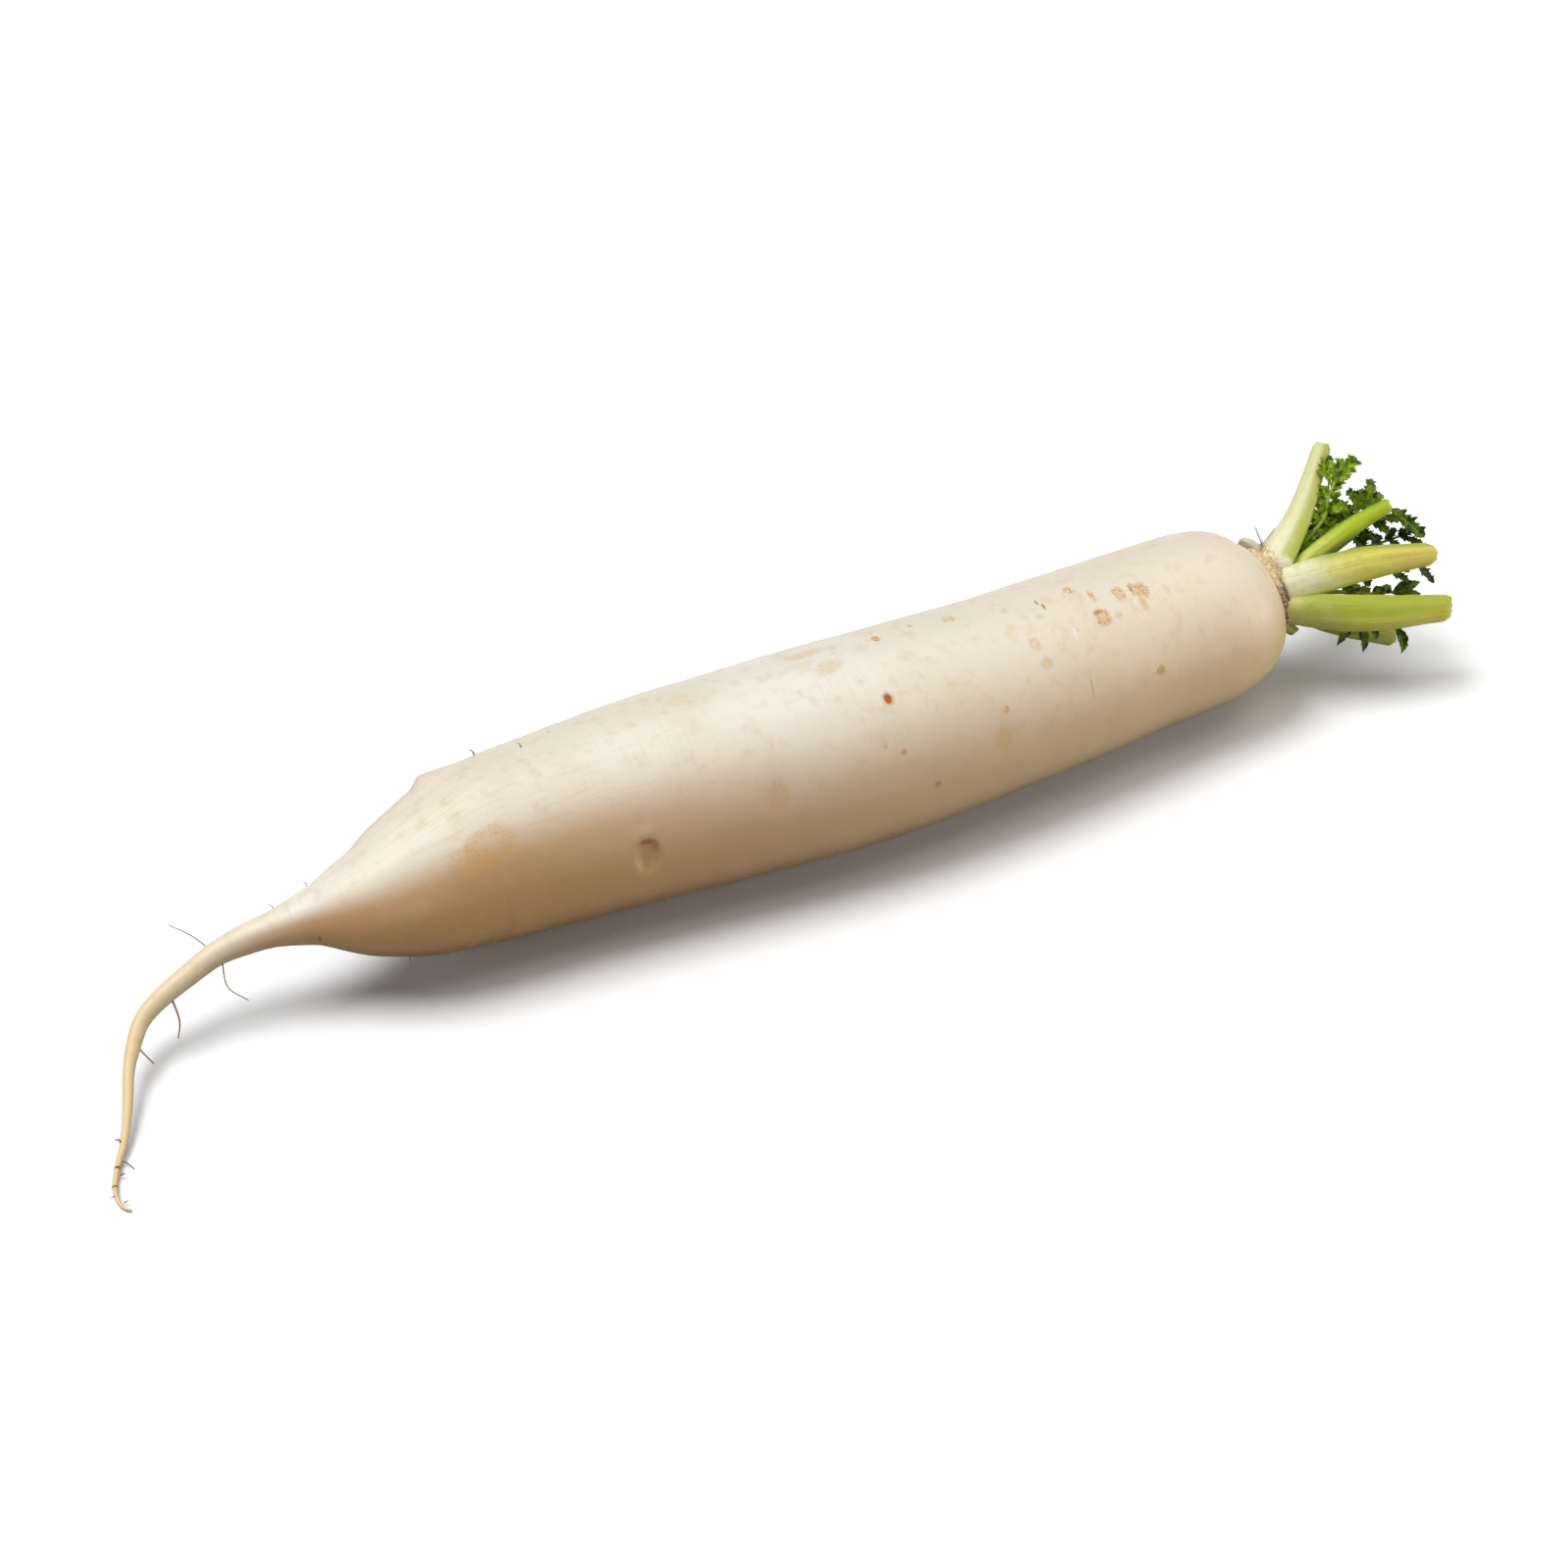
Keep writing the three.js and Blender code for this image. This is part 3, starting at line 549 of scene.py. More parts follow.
def root_relief(points, straight):
    """How far the skin stands out of the plain round form at each point."""
    relief = sum(height * noise_at(straight + shift, size) for height, shift, size in SKIN_WAVES)
    for height, centre, sizes, steepness in SKIN_FORMS:
        relief += height * hill_at(points, centre, sizes, steepness)
    return relief + STUMP_HEIGHT * cone_at(points, STUMP_TIP, STUMP_REACH)


def add_hair(form, points, radius, thin, tone, rings, sides):
    """A side root or a hair. It thins out, and darkens from its tone to its tip."""
    shares = np.linspace(0, 1, rings)
    tube = round_tube(smooth_curve(points), shares, radius * (1 - thin * shares), UP, sides)
    form.add_tube(tube, hair=tone + (1 - tone) * shares[:, None])


def make_taproot():
    form = Form(*SKIN_VALUES)
    curve = smooth_curve(ROOT)
    shares, total = even_shares(curve, ROOT_RINGS)

    def centre(t):
        return curve(t)[:, :3]

    origin, _, side, up = frames(centre, shares, UP)
    radius = curve(shares)[:, 3][:, None]
    angle = ring_angles(ROOT_SIDES)[None, :]
    east, north = np.sin(angle), np.cos(angle)
    ring = east[..., None] * side[:, None] + north[..., None] * up[:, None]
    length = np.linspace(0, total, ROOT_RINGS)[:, None] + 0 * angle
    straight = np.stack([length, radius * east, radius * north], axis=-1)
    points = origin[:, None] + radius[..., None] * ring
    share = np.clip(radius / FULL_RELIEF_RADIUS, 0.02, 1)
    radius = radius + share * root_relief(points, straight)
    points = origin[:, None] + radius[..., None] * ring
    points[..., 2] = np.maximum(points[..., 2], 0)
    form.add_tube(points, length=length, side=straight[..., 1], top=straight[..., 2],
                  east=east, north=north)
    for *route, size in ROOTLETS:
        add_hair(form, route, size, thin=0.55, tone=0.5, rings=24, sides=8)
    return form.build("taproot_skin", ["taproot"])


def make_hairs():
    form = Form(*SKIN_VALUES)
    for start, tip, size in HAIRS:
        start, tip = np.array(start), np.array(tip)
        bend = (start + tip) / 2 + np.array([0.4, 0.2, 0.2])
        add_hair(form, [start, bend, tip], size, thin=0.7, tone=0.6, rings=8, sides=7)
    return form.build("root_hairs", [])


# The crown
def stem_frame():
    side = unit(np.cross(UP, STEM_AXIS))
    return side, np.cross(STEM_AXIS, side)


def make_crown_stem():
    """The short stem with its rings of leaf scars, frayed where old stalks broke away."""
    form = Form("length", "tone")
    side, top = stem_frame()
    profile = smooth_curve([(radius, height, 0) for radius, height in STEM_PROFILE])
    shares = np.linspace(0, 1, 90)
    radius, height = profile(shares)[:, :2].T
    angle = ring_angles(200)[None, :, None]
    ring = np.cos(angle) * side + np.sin(angle) * top
    direction = ring + 0 * height[:, None, None]
    where = direction * 14 + height[:, None, None] * 0.25
    fray = 0.5 * noise_at(where, 0.9) + 0.7 * noise_at(where + 40, 3.2)
    reach = radius[:, None] + fray * np.clip(shares * 14, 0, 1)[:, None]
    lift = height[:, None] + 0.4 * noise_at(where + 70, 1.6)
    points = CROWN + direction * reach[..., None] + STEM_AXIS * lift[..., None]
    form.add_tube(points, length=height[:, None], tone=0.5)
    hair = smooth_curve([CROWN + np.array(point) for point in LONG_HAIR])
    shares = np.linspace(0, 1, 24)
    form.add_tube(round_tube(hair, shares, 0.32 - 0.16 * shares, side, 7), tone=2.0)
    for number in range(FIBRES):
        add_fibre(form, number, side, top)
    for number in range(SCALES):
        add_scale(form, number, side, top)
    return form.build("crown_stem_fibres", ["crown_stem"])


def around_stem(turn, side, top):
    """Direction out from the stem at a turn, and the direction round the stem there."""
    out = math.cos(turn) * side + math.sin(turn) * top
    around = -math.sin(turn) * side + math.cos(turn) * top
    return out, around


def add_fibre(form, number, side, top):
    """A fine dry fibre that stands out from the collar on its upper side."""
    out, around = around_stem(TURN * 0.32 * draw(number + 0.11), side, top)
    start_height = 0.6 + 2.6 * draw(number + 0.23)
    reach = 2.0 + 3.4 * draw(number + 0.37)
    drift = 3.0 * (draw(number + 0.51) - 0.5) * around
    start = CROWN + out * 12.6 + STEM_AXIS * start_height
    bend = start + out * (0.8 + 0.9 * draw(number + 0.67)) + STEM_AXIS * reach * 0.2 + drift
    rise = draw(number + 0.91) - 0.4
    tip = bend + out * reach * 0.4 + STEM_AXIS * reach * rise + drift
    shares = np.linspace(0, 1, 10)
    radii = 0.13 * (1 - 0.6 * shares)
    tube = round_tube(smooth_curve([start, bend, tip]), shares, radii, out, 6)
    form.add_tube(tube, length=3.4, tone=draw(number + 0.83))


def add_scale(form, number, side, top):
    """A small torn flap of an old sheath on the upper side, which points out along the stalks."""
    out, around = around_stem(TURN * 0.26 * draw(number + 0.17), side, top)
    height = 2.0 + 2.2 * draw(number + 0.29)
    long = 3.0 + 3.6 * draw(number + 0.41)
    wide = 0.8 + 1.5 * draw(number + 0.53)
    start = CROWN + out * (12.2 - 0.5 * height) + STEM_AXIS * height
    bend = start + STEM_AXIS * long * 0.6 + out * 0.9 * draw(number + 0.61)
    tip = bend + STEM_AXIS * long * 0.4 + out * 1.2 * (draw(number + 0.73) - 0.3) + around * 0.6
    shares = np.linspace(0, 1, 12)
    origin, _, flat, up = frames(smooth_curve([start, bend, tip]), shares, out)
    torn = 1 + 0.25 * np.sin(17 * shares + number)
    half = wide * np.sin(math.pi * (0.22 + 0.76 * shares)) * torn
    angle = ring_angles(14)[None, :, None]
    points = (origin[:, None] + half[:, None, None] * np.sin(angle) * flat[:, None]
              + 0.16 * np.cos(angle) * up[:, None])
    form.add_tube(points, length=height + long * shares[:, None], tone=draw(number + 0.87))


def outward(point):
    """Direction from the stem's axis out to a point."""
    offset = point - CROWN
    return unit(offset - STEM_AXIS * offset.dot(STEM_AXIS))


# Stalks
def stalk_section(angle):
    """Shares across and up of a stalk's outline: round on its back, flat and grooved inside."""
    x, z = np.sin(angle), np.cos(angle)
    back = 0.55 * np.minimum(z, 0)
    front = 0.45 * np.minimum(np.maximum(z, 0) * 1.5, 1) - 0.3 * np.maximum(z - 0.6, 0)
    return x, np.where(z > 0, front, back)


def stalk_stations():
    """Place along the stalk, share of its full size and shift along it, for each ring."""
    body = np.linspace(0, 1, STALK_RINGS)
    shares = np.concatenate([np.zeros(len(GROWN_SHRINK)), body, np.ones(len(CUT_SHRINK))])
    shrink = np.concatenate([GROWN_SHRINK, np.interp(body, [0, 0.97, 1], [1, 1, CUT_EDGE]),
                             CUT_EDGE * np.array(CUT_SHRINK)])
    sink = np.concatenate([GROWN_SINK, np.zeros(STALK_RINGS), CUT_SINK])
    return shares, shrink, sink


def stalk_ribs(points, base, shares, angle):
    """How far the ribs and soft waves of a stalk stand out at each point."""
    around = np.stack(np.broadcast_arrays(
        np.sin(angle)[None, :] * 2.6, np.cos(angle)[None, :] * 2.6, 1.6 * shares[:, None]), axis=-1)
    return 0.3 * noise_at(around + base, 1.0) + 0.22 * noise_at(points, 6)


def make_stalk(name, spec):
    """A cut leaf stalk with soft ribs, rounded off where it grows out, and a torn cut."""
    form = Form("along", "rib", "cut")
    base, bend, tip = (CROWN + np.array(spec[key]) for key in ("base", "bend", "tip"))
    shares, shrink, sink = stalk_stations()
    width = smooth_curve([(v, 0, 0) for v in spec["width"]])(shares)[:, 0]
    depth = smooth_curve([(v, 0, 0) for v in spec["depth"]])(shares)[:, 0]
    origin, along, side, up = frames(smooth_curve([base, bend, tip]), shares, -outward(base))
    angle = ring_angles(STALK_SIDES)
    x, lift = stalk_section(angle)
    across = shrink[:, None] * x * width[:, None] / 2
    high = shrink[:, None] * lift * depth[:, None]
    lean = np.interp(shares, [0.9, 1], [0, 1])[:, None] * spec["slant"] * high
    points = (origin[:, None] + across[..., None] * side[:, None] + high[..., None] * up[:, None]
              + (lean + sink[:, None])[..., None] * along[:, None])
    ribs = stalk_ribs(points, base, shares, angle) * np.clip(shrink, 0, 1)[:, None] ** 3
    points = points + ribs[..., None] * unit(points - origin[:, None] + 1e-6)
    first_cut = len(GROWN_SHRINK) + STALK_RINGS
    rough = np.zeros(len(shares))
    rough[first_cut - 1:-1] = CUT_ROUGHNESS
    points += (rough[:, None] * noise_at(points + 30, 1.1))[..., None] * along[:, None]
    cut = (np.arange(len(shares)) >= first_cut)[:, None].astype(float)
    form.add_tube(points, along=shares[:, None], rib=angle[None, :], cut=cut)
    return form.build(name + "_fine", [name], sharp=40)


# Young leaves
def plain_outline(half_width, bare, t):
    """Half width of a plain leaflet at each share of its length: pointed, with one notch."""
    swell = np.sin(math.pi * np.clip((t - bare) / (1 - bare), 0, 1) ** 0.7)
    notch = 1 - 0.3 * np.clip(1 - np.abs(t - 0.55) / 0.08, 0, 1)
    return 0.14 + half_width * swell * notch


def toothed_outline(half_width, bare, t, seed):
    """Half width of a leaflet with a few large teeth and many small ones."""
    marks = [0.0]
    halves = [0.5]
    if bare:
        marks.append(bare)
        halves.append(0.4)
    for tooth in range(LARGE_TEETH):
        place = 0.2 + 0.62 * tooth / (LARGE_TEETH - 1)
        half = half_width * math.sin(math.pi * (0.2 + 0.66 * place))
        marks.append(bare + (1 - bare) * place)
        halves.append(half)
        if tooth < LARGE_TEETH - 1:
            marks.append(bare + (1 - bare) * (place + 0.1))
            halves.append(half * 0.62)
    outline = np.interp(t, [*marks, 1.0], [*halves, 0.12])
    saw = ((t - bare) / (1 - bare) * SMALL_TEETH + 0.4 * draw(seed)) % 1.0
    grip = np.clip(5 * (t - bare), 0, 1) * np.clip(5 * (1 - t), 0, 1)
    return outline * (1 - 0.28 * grip + 0.55 * grip * saw)


def turned(side, along, up, degrees, lift):
    """A direction turned out from a rib in the leaf's plane, and raised out of it."""
    angle = math.radians(degrees)
    return unit(side * math.sin(angle) + along * math.cos(angle) + up * lift)


def leaflet_curve(rib_frame, turn, length, hook, lift):
    """The middle line of a leaflet, which turns out from the rib and bends down to its tip."""
    origin, along, side, face = rib_frame
    bend = origin + length * LEAFLET_BEND * turned(side, along, face, turn, lift)
    onward = turned(side, along, face, turn + hook, lift)
    stop = bend + length * (1 - LEAFLET_BEND) * onward - face * 0.1 * length
    return bent_curve(origin, bend + face * 0.06 * length, stop)


def add_leaflet(form, rib_frame, row, lift, seed, lobes=(), toothed=True):
    """A thin blade, folded along its middle and crinkled, with its lobes."""
    _, turn, length, half_width, hook, bare = (*row, 0, 0)[:6]
    face = rib_frame[3]
    curve = leaflet_curve(rib_frame, turn, length, hook, lift)
    steps, spans = BLADE_MESH[0 if length > LARGE_LEAFLET else 1]
    t = np.linspace(0, 1, steps)
    if toothed:
        half = toothed_outline(half_width, bare, t, seed)
    else:
        half = plain_outline(half_width, bare, t)
    start, along, side, up = frames(curve, t, face)
    span = np.linspace(-1, 1, 2 * spans + 1)
    edge = np.abs(span)[None, :]
    shares = t[:, None]
    across = half[:, None] * span[None, :]
    wave = 0.16 * half_width * np.sin(TURN * (1.7 * shares + draw(seed + 0.2))) * edge**2
    quilt = 0.3 * np.cos(TURN * (7 * shares - 1.6 * edge)) * edge * np.clip(half[:, None], 0, 1)
    fold = 0.42 * np.abs(across) + wave * np.sign(span[None, :]) + quilt
    sweep = 0.3 * np.abs(across) * (1 - shares)
    middle = (start[:, None] + across[..., None] * side[:, None]
              + sweep[..., None] * along[:, None])
    thick = BLADE_THICKNESS / 2 * np.clip(1.4 - edge, 0.35, 1) + 0 * across
    upper = middle + (fold + thick)[..., None] * up[:, None]
    under = (middle + (fold - thick)[..., None] * up[:, None])[:, ::-1][:, 1:-1]
    ring = np.concatenate([upper, under], axis=1)[:, ::-1]
    blade = np.concatenate([span, span[::-1][1:-1]])[::-1]
    form.add_tube(ring, along=shares, across=blade[None, :], tone=draw(seed + 0.4))
    add_lobes(form, curve, face, length, bare, lobes, seed)


def add_lobes(form, curve, face, length, bare, lobes, seed):
    """Small blades that grow out of a leaflet on both sides."""
    for number, (t, lobe_turn) in enumerate(lobes):
        at_lobe = [part[0] for part in frames(curve, bare + (1 - bare) * t, face)]
        size = length * (1 - bare) * (0.44 - 0.2 * t) * (0.8 + 0.4 * draw(seed + number * 0.7))
        spread = lobe_turn * (0.8 + 0.4 * draw(seed + number * 0.9))
        raised = 0.5 * (draw(seed + number) - 0.3)
        add_leaflet(form, at_lobe, (t, spread, size, 0.26 * size), raised, seed + number * 1.3)


def small_leaflets(spec):
    """Leaflets that stand in turns on both sides of a rib, between the large ones."""
    first, last, count, size = spec["small"]
    for number in range(count):
        t = first + (last - first) * number / (count - 1)
        turn = (1 if number % 2 else -1) * (40 + 50 * draw(number + spec["seed"]))
        length = size * (0.7 + 0.6 * draw(number * 1.7 + spec["seed"]))
        yield (t, turn, length, 0.3 * length)


def make_leaf(name, spec):
    form = Form("along", "across", "tone")
    curve = smooth_curve([CROWN + np.array(point) for point in spec["rib"]])
    look = unit(np.array(spec["face"], float))
    shares = np.linspace(0, 1, 60)
    form.add_tube(round_tube(curve, shares * 0.97, 1.0 - 0.6 * shares, look, 14), tone=-1.0)
    for number, row in enumerate([*spec["leaflets"], *small_leaflets(spec)]):
        lift = 0.5 * (draw(spec["seed"] * 100 + number) - 0.5)
        rib_frame = [part[0] for part in frames(curve, row[0], look)]
        rib_frame[3] = np.cross(rib_frame[2], rib_frame[1])
        lobes = LOBES if spec["lobed"] and row[2] > LOBED_LEAFLET else ()
        toothed = spec["toothed"] and number < len(spec["leaflets"])
        add_leaflet(form, rib_frame, row, lift, spec["seed"] + number * 0.37, lobes, toothed)
    return form.build(name + "_blades", [name], sharp=80)


# Materials. Their colours have values up to 255.
CREAM = (249, 242, 230)
IVORY = (244, 234, 216)
BUFF = (243, 230, 210)
# Painted shade on the lower side of the body, warmer towards the tail.
PAINTED_SHADE_BY_TAIL = (220, 184, 140)
PAINTED_SHADE_BY_CROWN = (228, 202, 162)
# Partly the taper's own yellow-brown, partly painted shade on its lower side.
TAPER_OCHRE_AND_SHADE = (202, 152, 88)
# Painted shade on the underside, next to the floor.
PAINTED_UNDERSIDE_SHADE = (104, 78, 54)
TAIL_GOLD = (244, 216, 160)
LINE_TAN = (216, 186, 140)
STREAK_TAN = (196, 152, 98)
MOTTLE_TAN = (220, 190, 144)
SHOULDER_GREEN = (206, 202, 120)
HAIR_TAN = (168, 122, 70)
HAIR_BROWN = (96, 62, 34)
SCAR_TAN = (208, 166, 100)
SCAR_PALE = (248, 238, 204)
SCAR_RUST = (180, 122, 54)
# Partly the collar's own brown, partly painted shade low on it.
COLLAR_BROWN_AND_SHADE = (74, 44, 16)
STEM_PALE = (238, 236, 206)
LONG_HAIR_BROWN = (52, 34, 20)
STRIP_GREEN = (180, 190, 30)
DOT_PALE = (232, 236, 170)
PITH_PALE = (214, 216, 150)
PITH_DARK = (168, 160, 84)
VEIN_GREEN = (190, 210, 130)


def srgb(color):
    """A colour of three values up to 255 as the linear colour that shaders take."""
    shares = [value / 255 for value in color]
    linear = [s / 12.92 if s <= 0.04045 else ((s + 0.055) / 1.055) ** 2.4 for s in shares]
    return (*linear, 1.0)


def feed(socket, value):
    """Sets a socket to a plain value, or links it to one that varies."""
    source = getattr(value, "socket", value)
    if isinstance(source, bpy.types.NodeSocket):
        socket.id_data.links.new(source, socket)
    else:
        socket.default_value = value


class Shade:
    """A value, place, colour or shader that varies over a surface, made by one node."""

    def __init__(self, tree, kind, values=None, output=0, **settings):
        node = tree.nodes.new("ShaderNode" + kind)
        for name, setting in settings.items():
            setattr(node, name, setting)
        for key, value in (values or {}).items():
            feed(node.inputs[key], value)
        self.tree = tree
        self.socket = node.outputs[output]

    def math(self, operation, other=0.0):
        return Shade(self.tree, "Math", {0: self, 1: other}, operation=operation)

    def __add__(self, other):
        return self.math("ADD", other)

    def __sub__(self, other):
        return self.math("SUBTRACT", other)

    def __mul__(self, other):
        return self.math("MULTIPLY", other)

    def vector(self, operation, other):
        return Shade(self.tree, "VectorMath", {0: self, 1: other}, operation=operation)

    def stretched(self, scale):
        """The vector with each axis scaled by its own number."""
        return self.vector("MULTIPLY", scale)

    def ramp(self, low, high, start=0.0, stop=1.0):
        """Goes softly from start to stop as the value goes from low to high."""
        return Shade(self.tree, "MapRange", {0: self, 1: low, 2: high, 3: start, 4: stop},
                     interpolation_type="SMOOTHSTEP")

    def noise(self, scale, detail=3.0, roughness=0.5, output=0):
        values = {"Vector": self, "Scale": scale, "Detail": detail, "Roughness": roughness}
        return Shade(self.tree, "TexNoise", values, output)

    def between(self, first, second):
        """The first colour where the value is 0, and the second where it is 1."""
        first, second = (srgb(c) if isinstance(c, tuple) else c for c in (first, second))
        return Shade(self.tree, "Mix", {0: self, 6: first, 7: second}, 2, data_type="RGBA")


def combined(x, y, z):
    return Shade(x.tree, "CombineXYZ", {0: x, 1: y, 2: z})


def attribute(tree, name):
    return Shade(tree, "Attribute", output="Fac", attribute_name=name)


def object_millimetres(tree):
    """Object coordinates in the millimetres in which the shapes above are written."""
    place = Shade(tree, "TexCoord", output="Object")
    return place.stretched((1 / MM,) * 3).vector("ADD", tuple(-OFFSET))


def new_material(name):
    material = bpy.data.materials.new(name)
    material.use_nodes = True
    tree = material.node_tree
    return material, tree, tree.nodes["Principled BSDF"]


def add_bump(shader, height, strength, depth):
    """Fine relief from a height, with its depth in metres."""
    values = {"Strength": strength, "Distance": depth, "Height": height}
    feed(shader.inputs["Normal"], Shade(height.tree, "Bump", values))


def spot(place, centre, sizes, rim=False):
    """1 inside an oval at a place and 0 outside it, with a soft edge. A rim is 1 at its edge."""
    offset = place.vector("SUBTRACT", centre)
    shape = offset.stretched((1 / sizes[0], 1 / sizes[1], 1 / sizes[1]))
    length = Shade(place.tree, "VectorMath", {0: shape}, "Value", operation="LENGTH")
    inside = length.ramp(0.6, 1.2, 1.0, 0.0)
    if not rim:
        return inside
    return inside * length.ramp(0.3, 0.8, RIM_CORE, 1.0)


def ragged_place(place, scale, reach):
    """The place moved about by noise, which makes outlines ragged."""
    shift = place.noise(scale, 4.0, output="Color").vector("SUBTRACT", (0.5,) * 3)
    return place.vector("ADD", shift.stretched((reach,) * 3))


def root_material():
    """Creamy skin with faint lines round the root, tan spots and a few scabs."""
    material, tree, shader = new_material("daikon_skin")
    place = object_millimetres(tree)
    along, north = attribute(tree, "length"), attribute(tree, "north")
    straight = combined(along, attribute(tree, "side"), attribute(tree, "top"))
    lines = straight.stretched((1.5, 0.04, 0.04)).noise(1.0, 4.0, 0.6)
    mottle = place.noise(0.16, 4.0, 0.6)
    color = skin_ground(place, along, north)
    color = lines.ramp(0.5, 0.75, 0.0, 0.14).between(color, LINE_TAN)
    streaks = taper_streaks(along, attribute(tree, "east"), north)
    color = streaks.between(color, STREAK_TAN)
    color = mottle.ramp(0.5, 0.72, 0.0, 0.34).between(color, MOTTLE_TAN)
    color, scars = skin_marks(place, color)
    color = (spot(place, TINGE, TINGE_SIZE) * 0.45).between(color, SHOULDER_GREEN)
    hair = attribute(tree, "hair")
    color = hair.ramp(0.4, 0.55).between(color, HAIR_TAN)
    color = hair.ramp(0.6, 1.0).between(color, HAIR_BROWN)
    feed(shader.inputs["Base Color"], color)
    feed(shader.inputs["Roughness"], mottle.ramp(0.3, 0.7, 0.4, 0.52))
    shader.inputs["Specular IOR Level"].default_value = 0.5
    pores = place.noise(1.1, 4.0, 0.6)
    scabs = scars * place.noise(1.6, 4.0, 0.8)
    add_bump(shader, lines * 0.5 + pores * 0.2 + scabs * 1.5, 0.35, 0.0003)
    return material


def taper_share(along):
    """1 on the tapering part of the body, and 0 on the tail and on the even part."""
    return along.ramp(170, 330, 1.0, 0.0) * along.ramp(90, 150)


def skin_ground(place, along, north):
    """Cream, tanner low on the body and on the taper, brown below and golden on the tail.

    The tan low on the body and the brown below are painted shade. The taper's tan is partly its
    own yellow-brown and partly painted shade.

    Along is the length from the tip of the tail in millimetres, and north is 1 on top.
    """
    color = place.noise(0.018).ramp(0.35, 0.65).between(CREAM, IVORY)
    color = along.ramp(260, 470, 0.0, 0.8).between(color, BUFF)
    # Painted shade: the lower side of the body turns tan, warmer towards the tail.
    low = north.ramp(-0.1, 1.05, 1.0, 0.0) * along.ramp(90, 150)
    color = low.between(color, along.ramp(220, 460).between(PAINTED_SHADE_BY_TAIL, PAINTED_SHADE_BY_CROWN))
    # Yellow-brown low on the taper: partly its own colour, partly painted shade.
    ochre_and_shade = north.ramp(0.5, 0.92, 1.0, 0.0) * taper_share(along)
    color = (ochre_and_shade * 0.8).between(color, TAPER_OCHRE_AND_SHADE)
    # Painted shade: the underside darkens to brown towards the floor.
    color = north.ramp(-0.9, -0.25, 0.85, 0.0).between(color, PAINTED_UNDERSIDE_SHADE)
    return along.ramp(60, 140, 0.9, 0.0).between(color, TAIL_GOLD)


def taper_streaks(along, east, north):
    """Long streaks that run down the taper."""
    grain = combined(along * 0.05, east, north).stretched((1.0, 34.0, 34.0)).noise(1.0, 4.0, 0.6)
    return grain.ramp(0.48, 0.75, 0.0, 0.22) * taper_share(along)


def skin_marks(place, color):
    """Lays the marks, their dark specks, the flecks and the pit over the skin.

    Returns the colour, and how strongly the skin is scarred.
    """
    coarse = ragged_place(place, 0.6, 3.6)
    fine = ragged_place(place, 1.4, 1.1)
    grain = place.noise(1.2, 4.0, 0.7).ramp(0.4, 0.56, 0.4, 1.0)
    scars = grain * 0.0
    for centre, long, wide, tint, strength in MARKS:
        small = min(long, wide) < RIM_SIZE
        rimmed = tint == TAN and not small
        oval = spot(fine if small else coarse, centre, (long, wide), rimmed)
        share = oval * grain * strength
        color = share.between(color, tint)
        if tint != PINK:
            scars = scars.math("MAXIMUM", share)
    specks = place.noise(2.2, 2.0, 0.6).ramp(0.52, 0.6) * scars.ramp(0.5, 0.9, 0.0, 0.8)
    color = specks.between(color, BROWN)
    near = spot(place, FLECK_CENTRE, (FLECK_RADIUS, FLECK_RADIUS * 0.5))
    flecks = near * fine.noise(0.7, 3.0, 0.7).ramp(0.6, 0.7)
    color = (flecks * 0.7).between(color, TAN)
    return spot(place, PIT, PIT_SIZE).between(color, PIT_COLOR), scars


def stem_material():
    """Pale torn tissue with tan fibres, dark brown low on the collar where the root begins, partly
    painted shade.
    """
    material, tree, shader = new_material("stem_fibres")
    place = object_millimetres(tree)
    length, tone = attribute(tree, "length"), attribute(tree, "tone")
    grain = place.stretched((0.35, 2.0, 2.0)).noise(1.2, 5.0, 0.7)
    color = grain.ramp(0.4, 0.6).between(SCAR_TAN, SCAR_PALE)
    color = tone.ramp(0.6, 1.0, 0.0, 0.7).between(color, SCAR_RUST)
    height = Shade(tree, "SeparateXYZ", {0: place}, 2)
    # Dark brown low on the collar by the shoulder: partly the tissue's own colour, partly painted
    # shade in the gap there, more on the collar's lower side.
    dark = length.ramp(2.0, 5.4, 1.0, 0.0) * height.ramp(42, 50, 1.0, 0.05)
    color = (dark * grain.ramp(0.35, 0.6, 1.0, 0.55)).between(color, COLLAR_BROWN_AND_SHADE)
    color = (length.ramp(3.2, 5.0) * 0.85).between(color, STEM_PALE)
    color = tone.ramp(1.2, 1.8).between(color, LONG_HAIR_BROWN)
    feed(shader.inputs["Base Color"], color)
    shader.inputs["Roughness"].default_value = 0.75
    add_bump(shader, grain, 0.8, 0.0004)
    return material


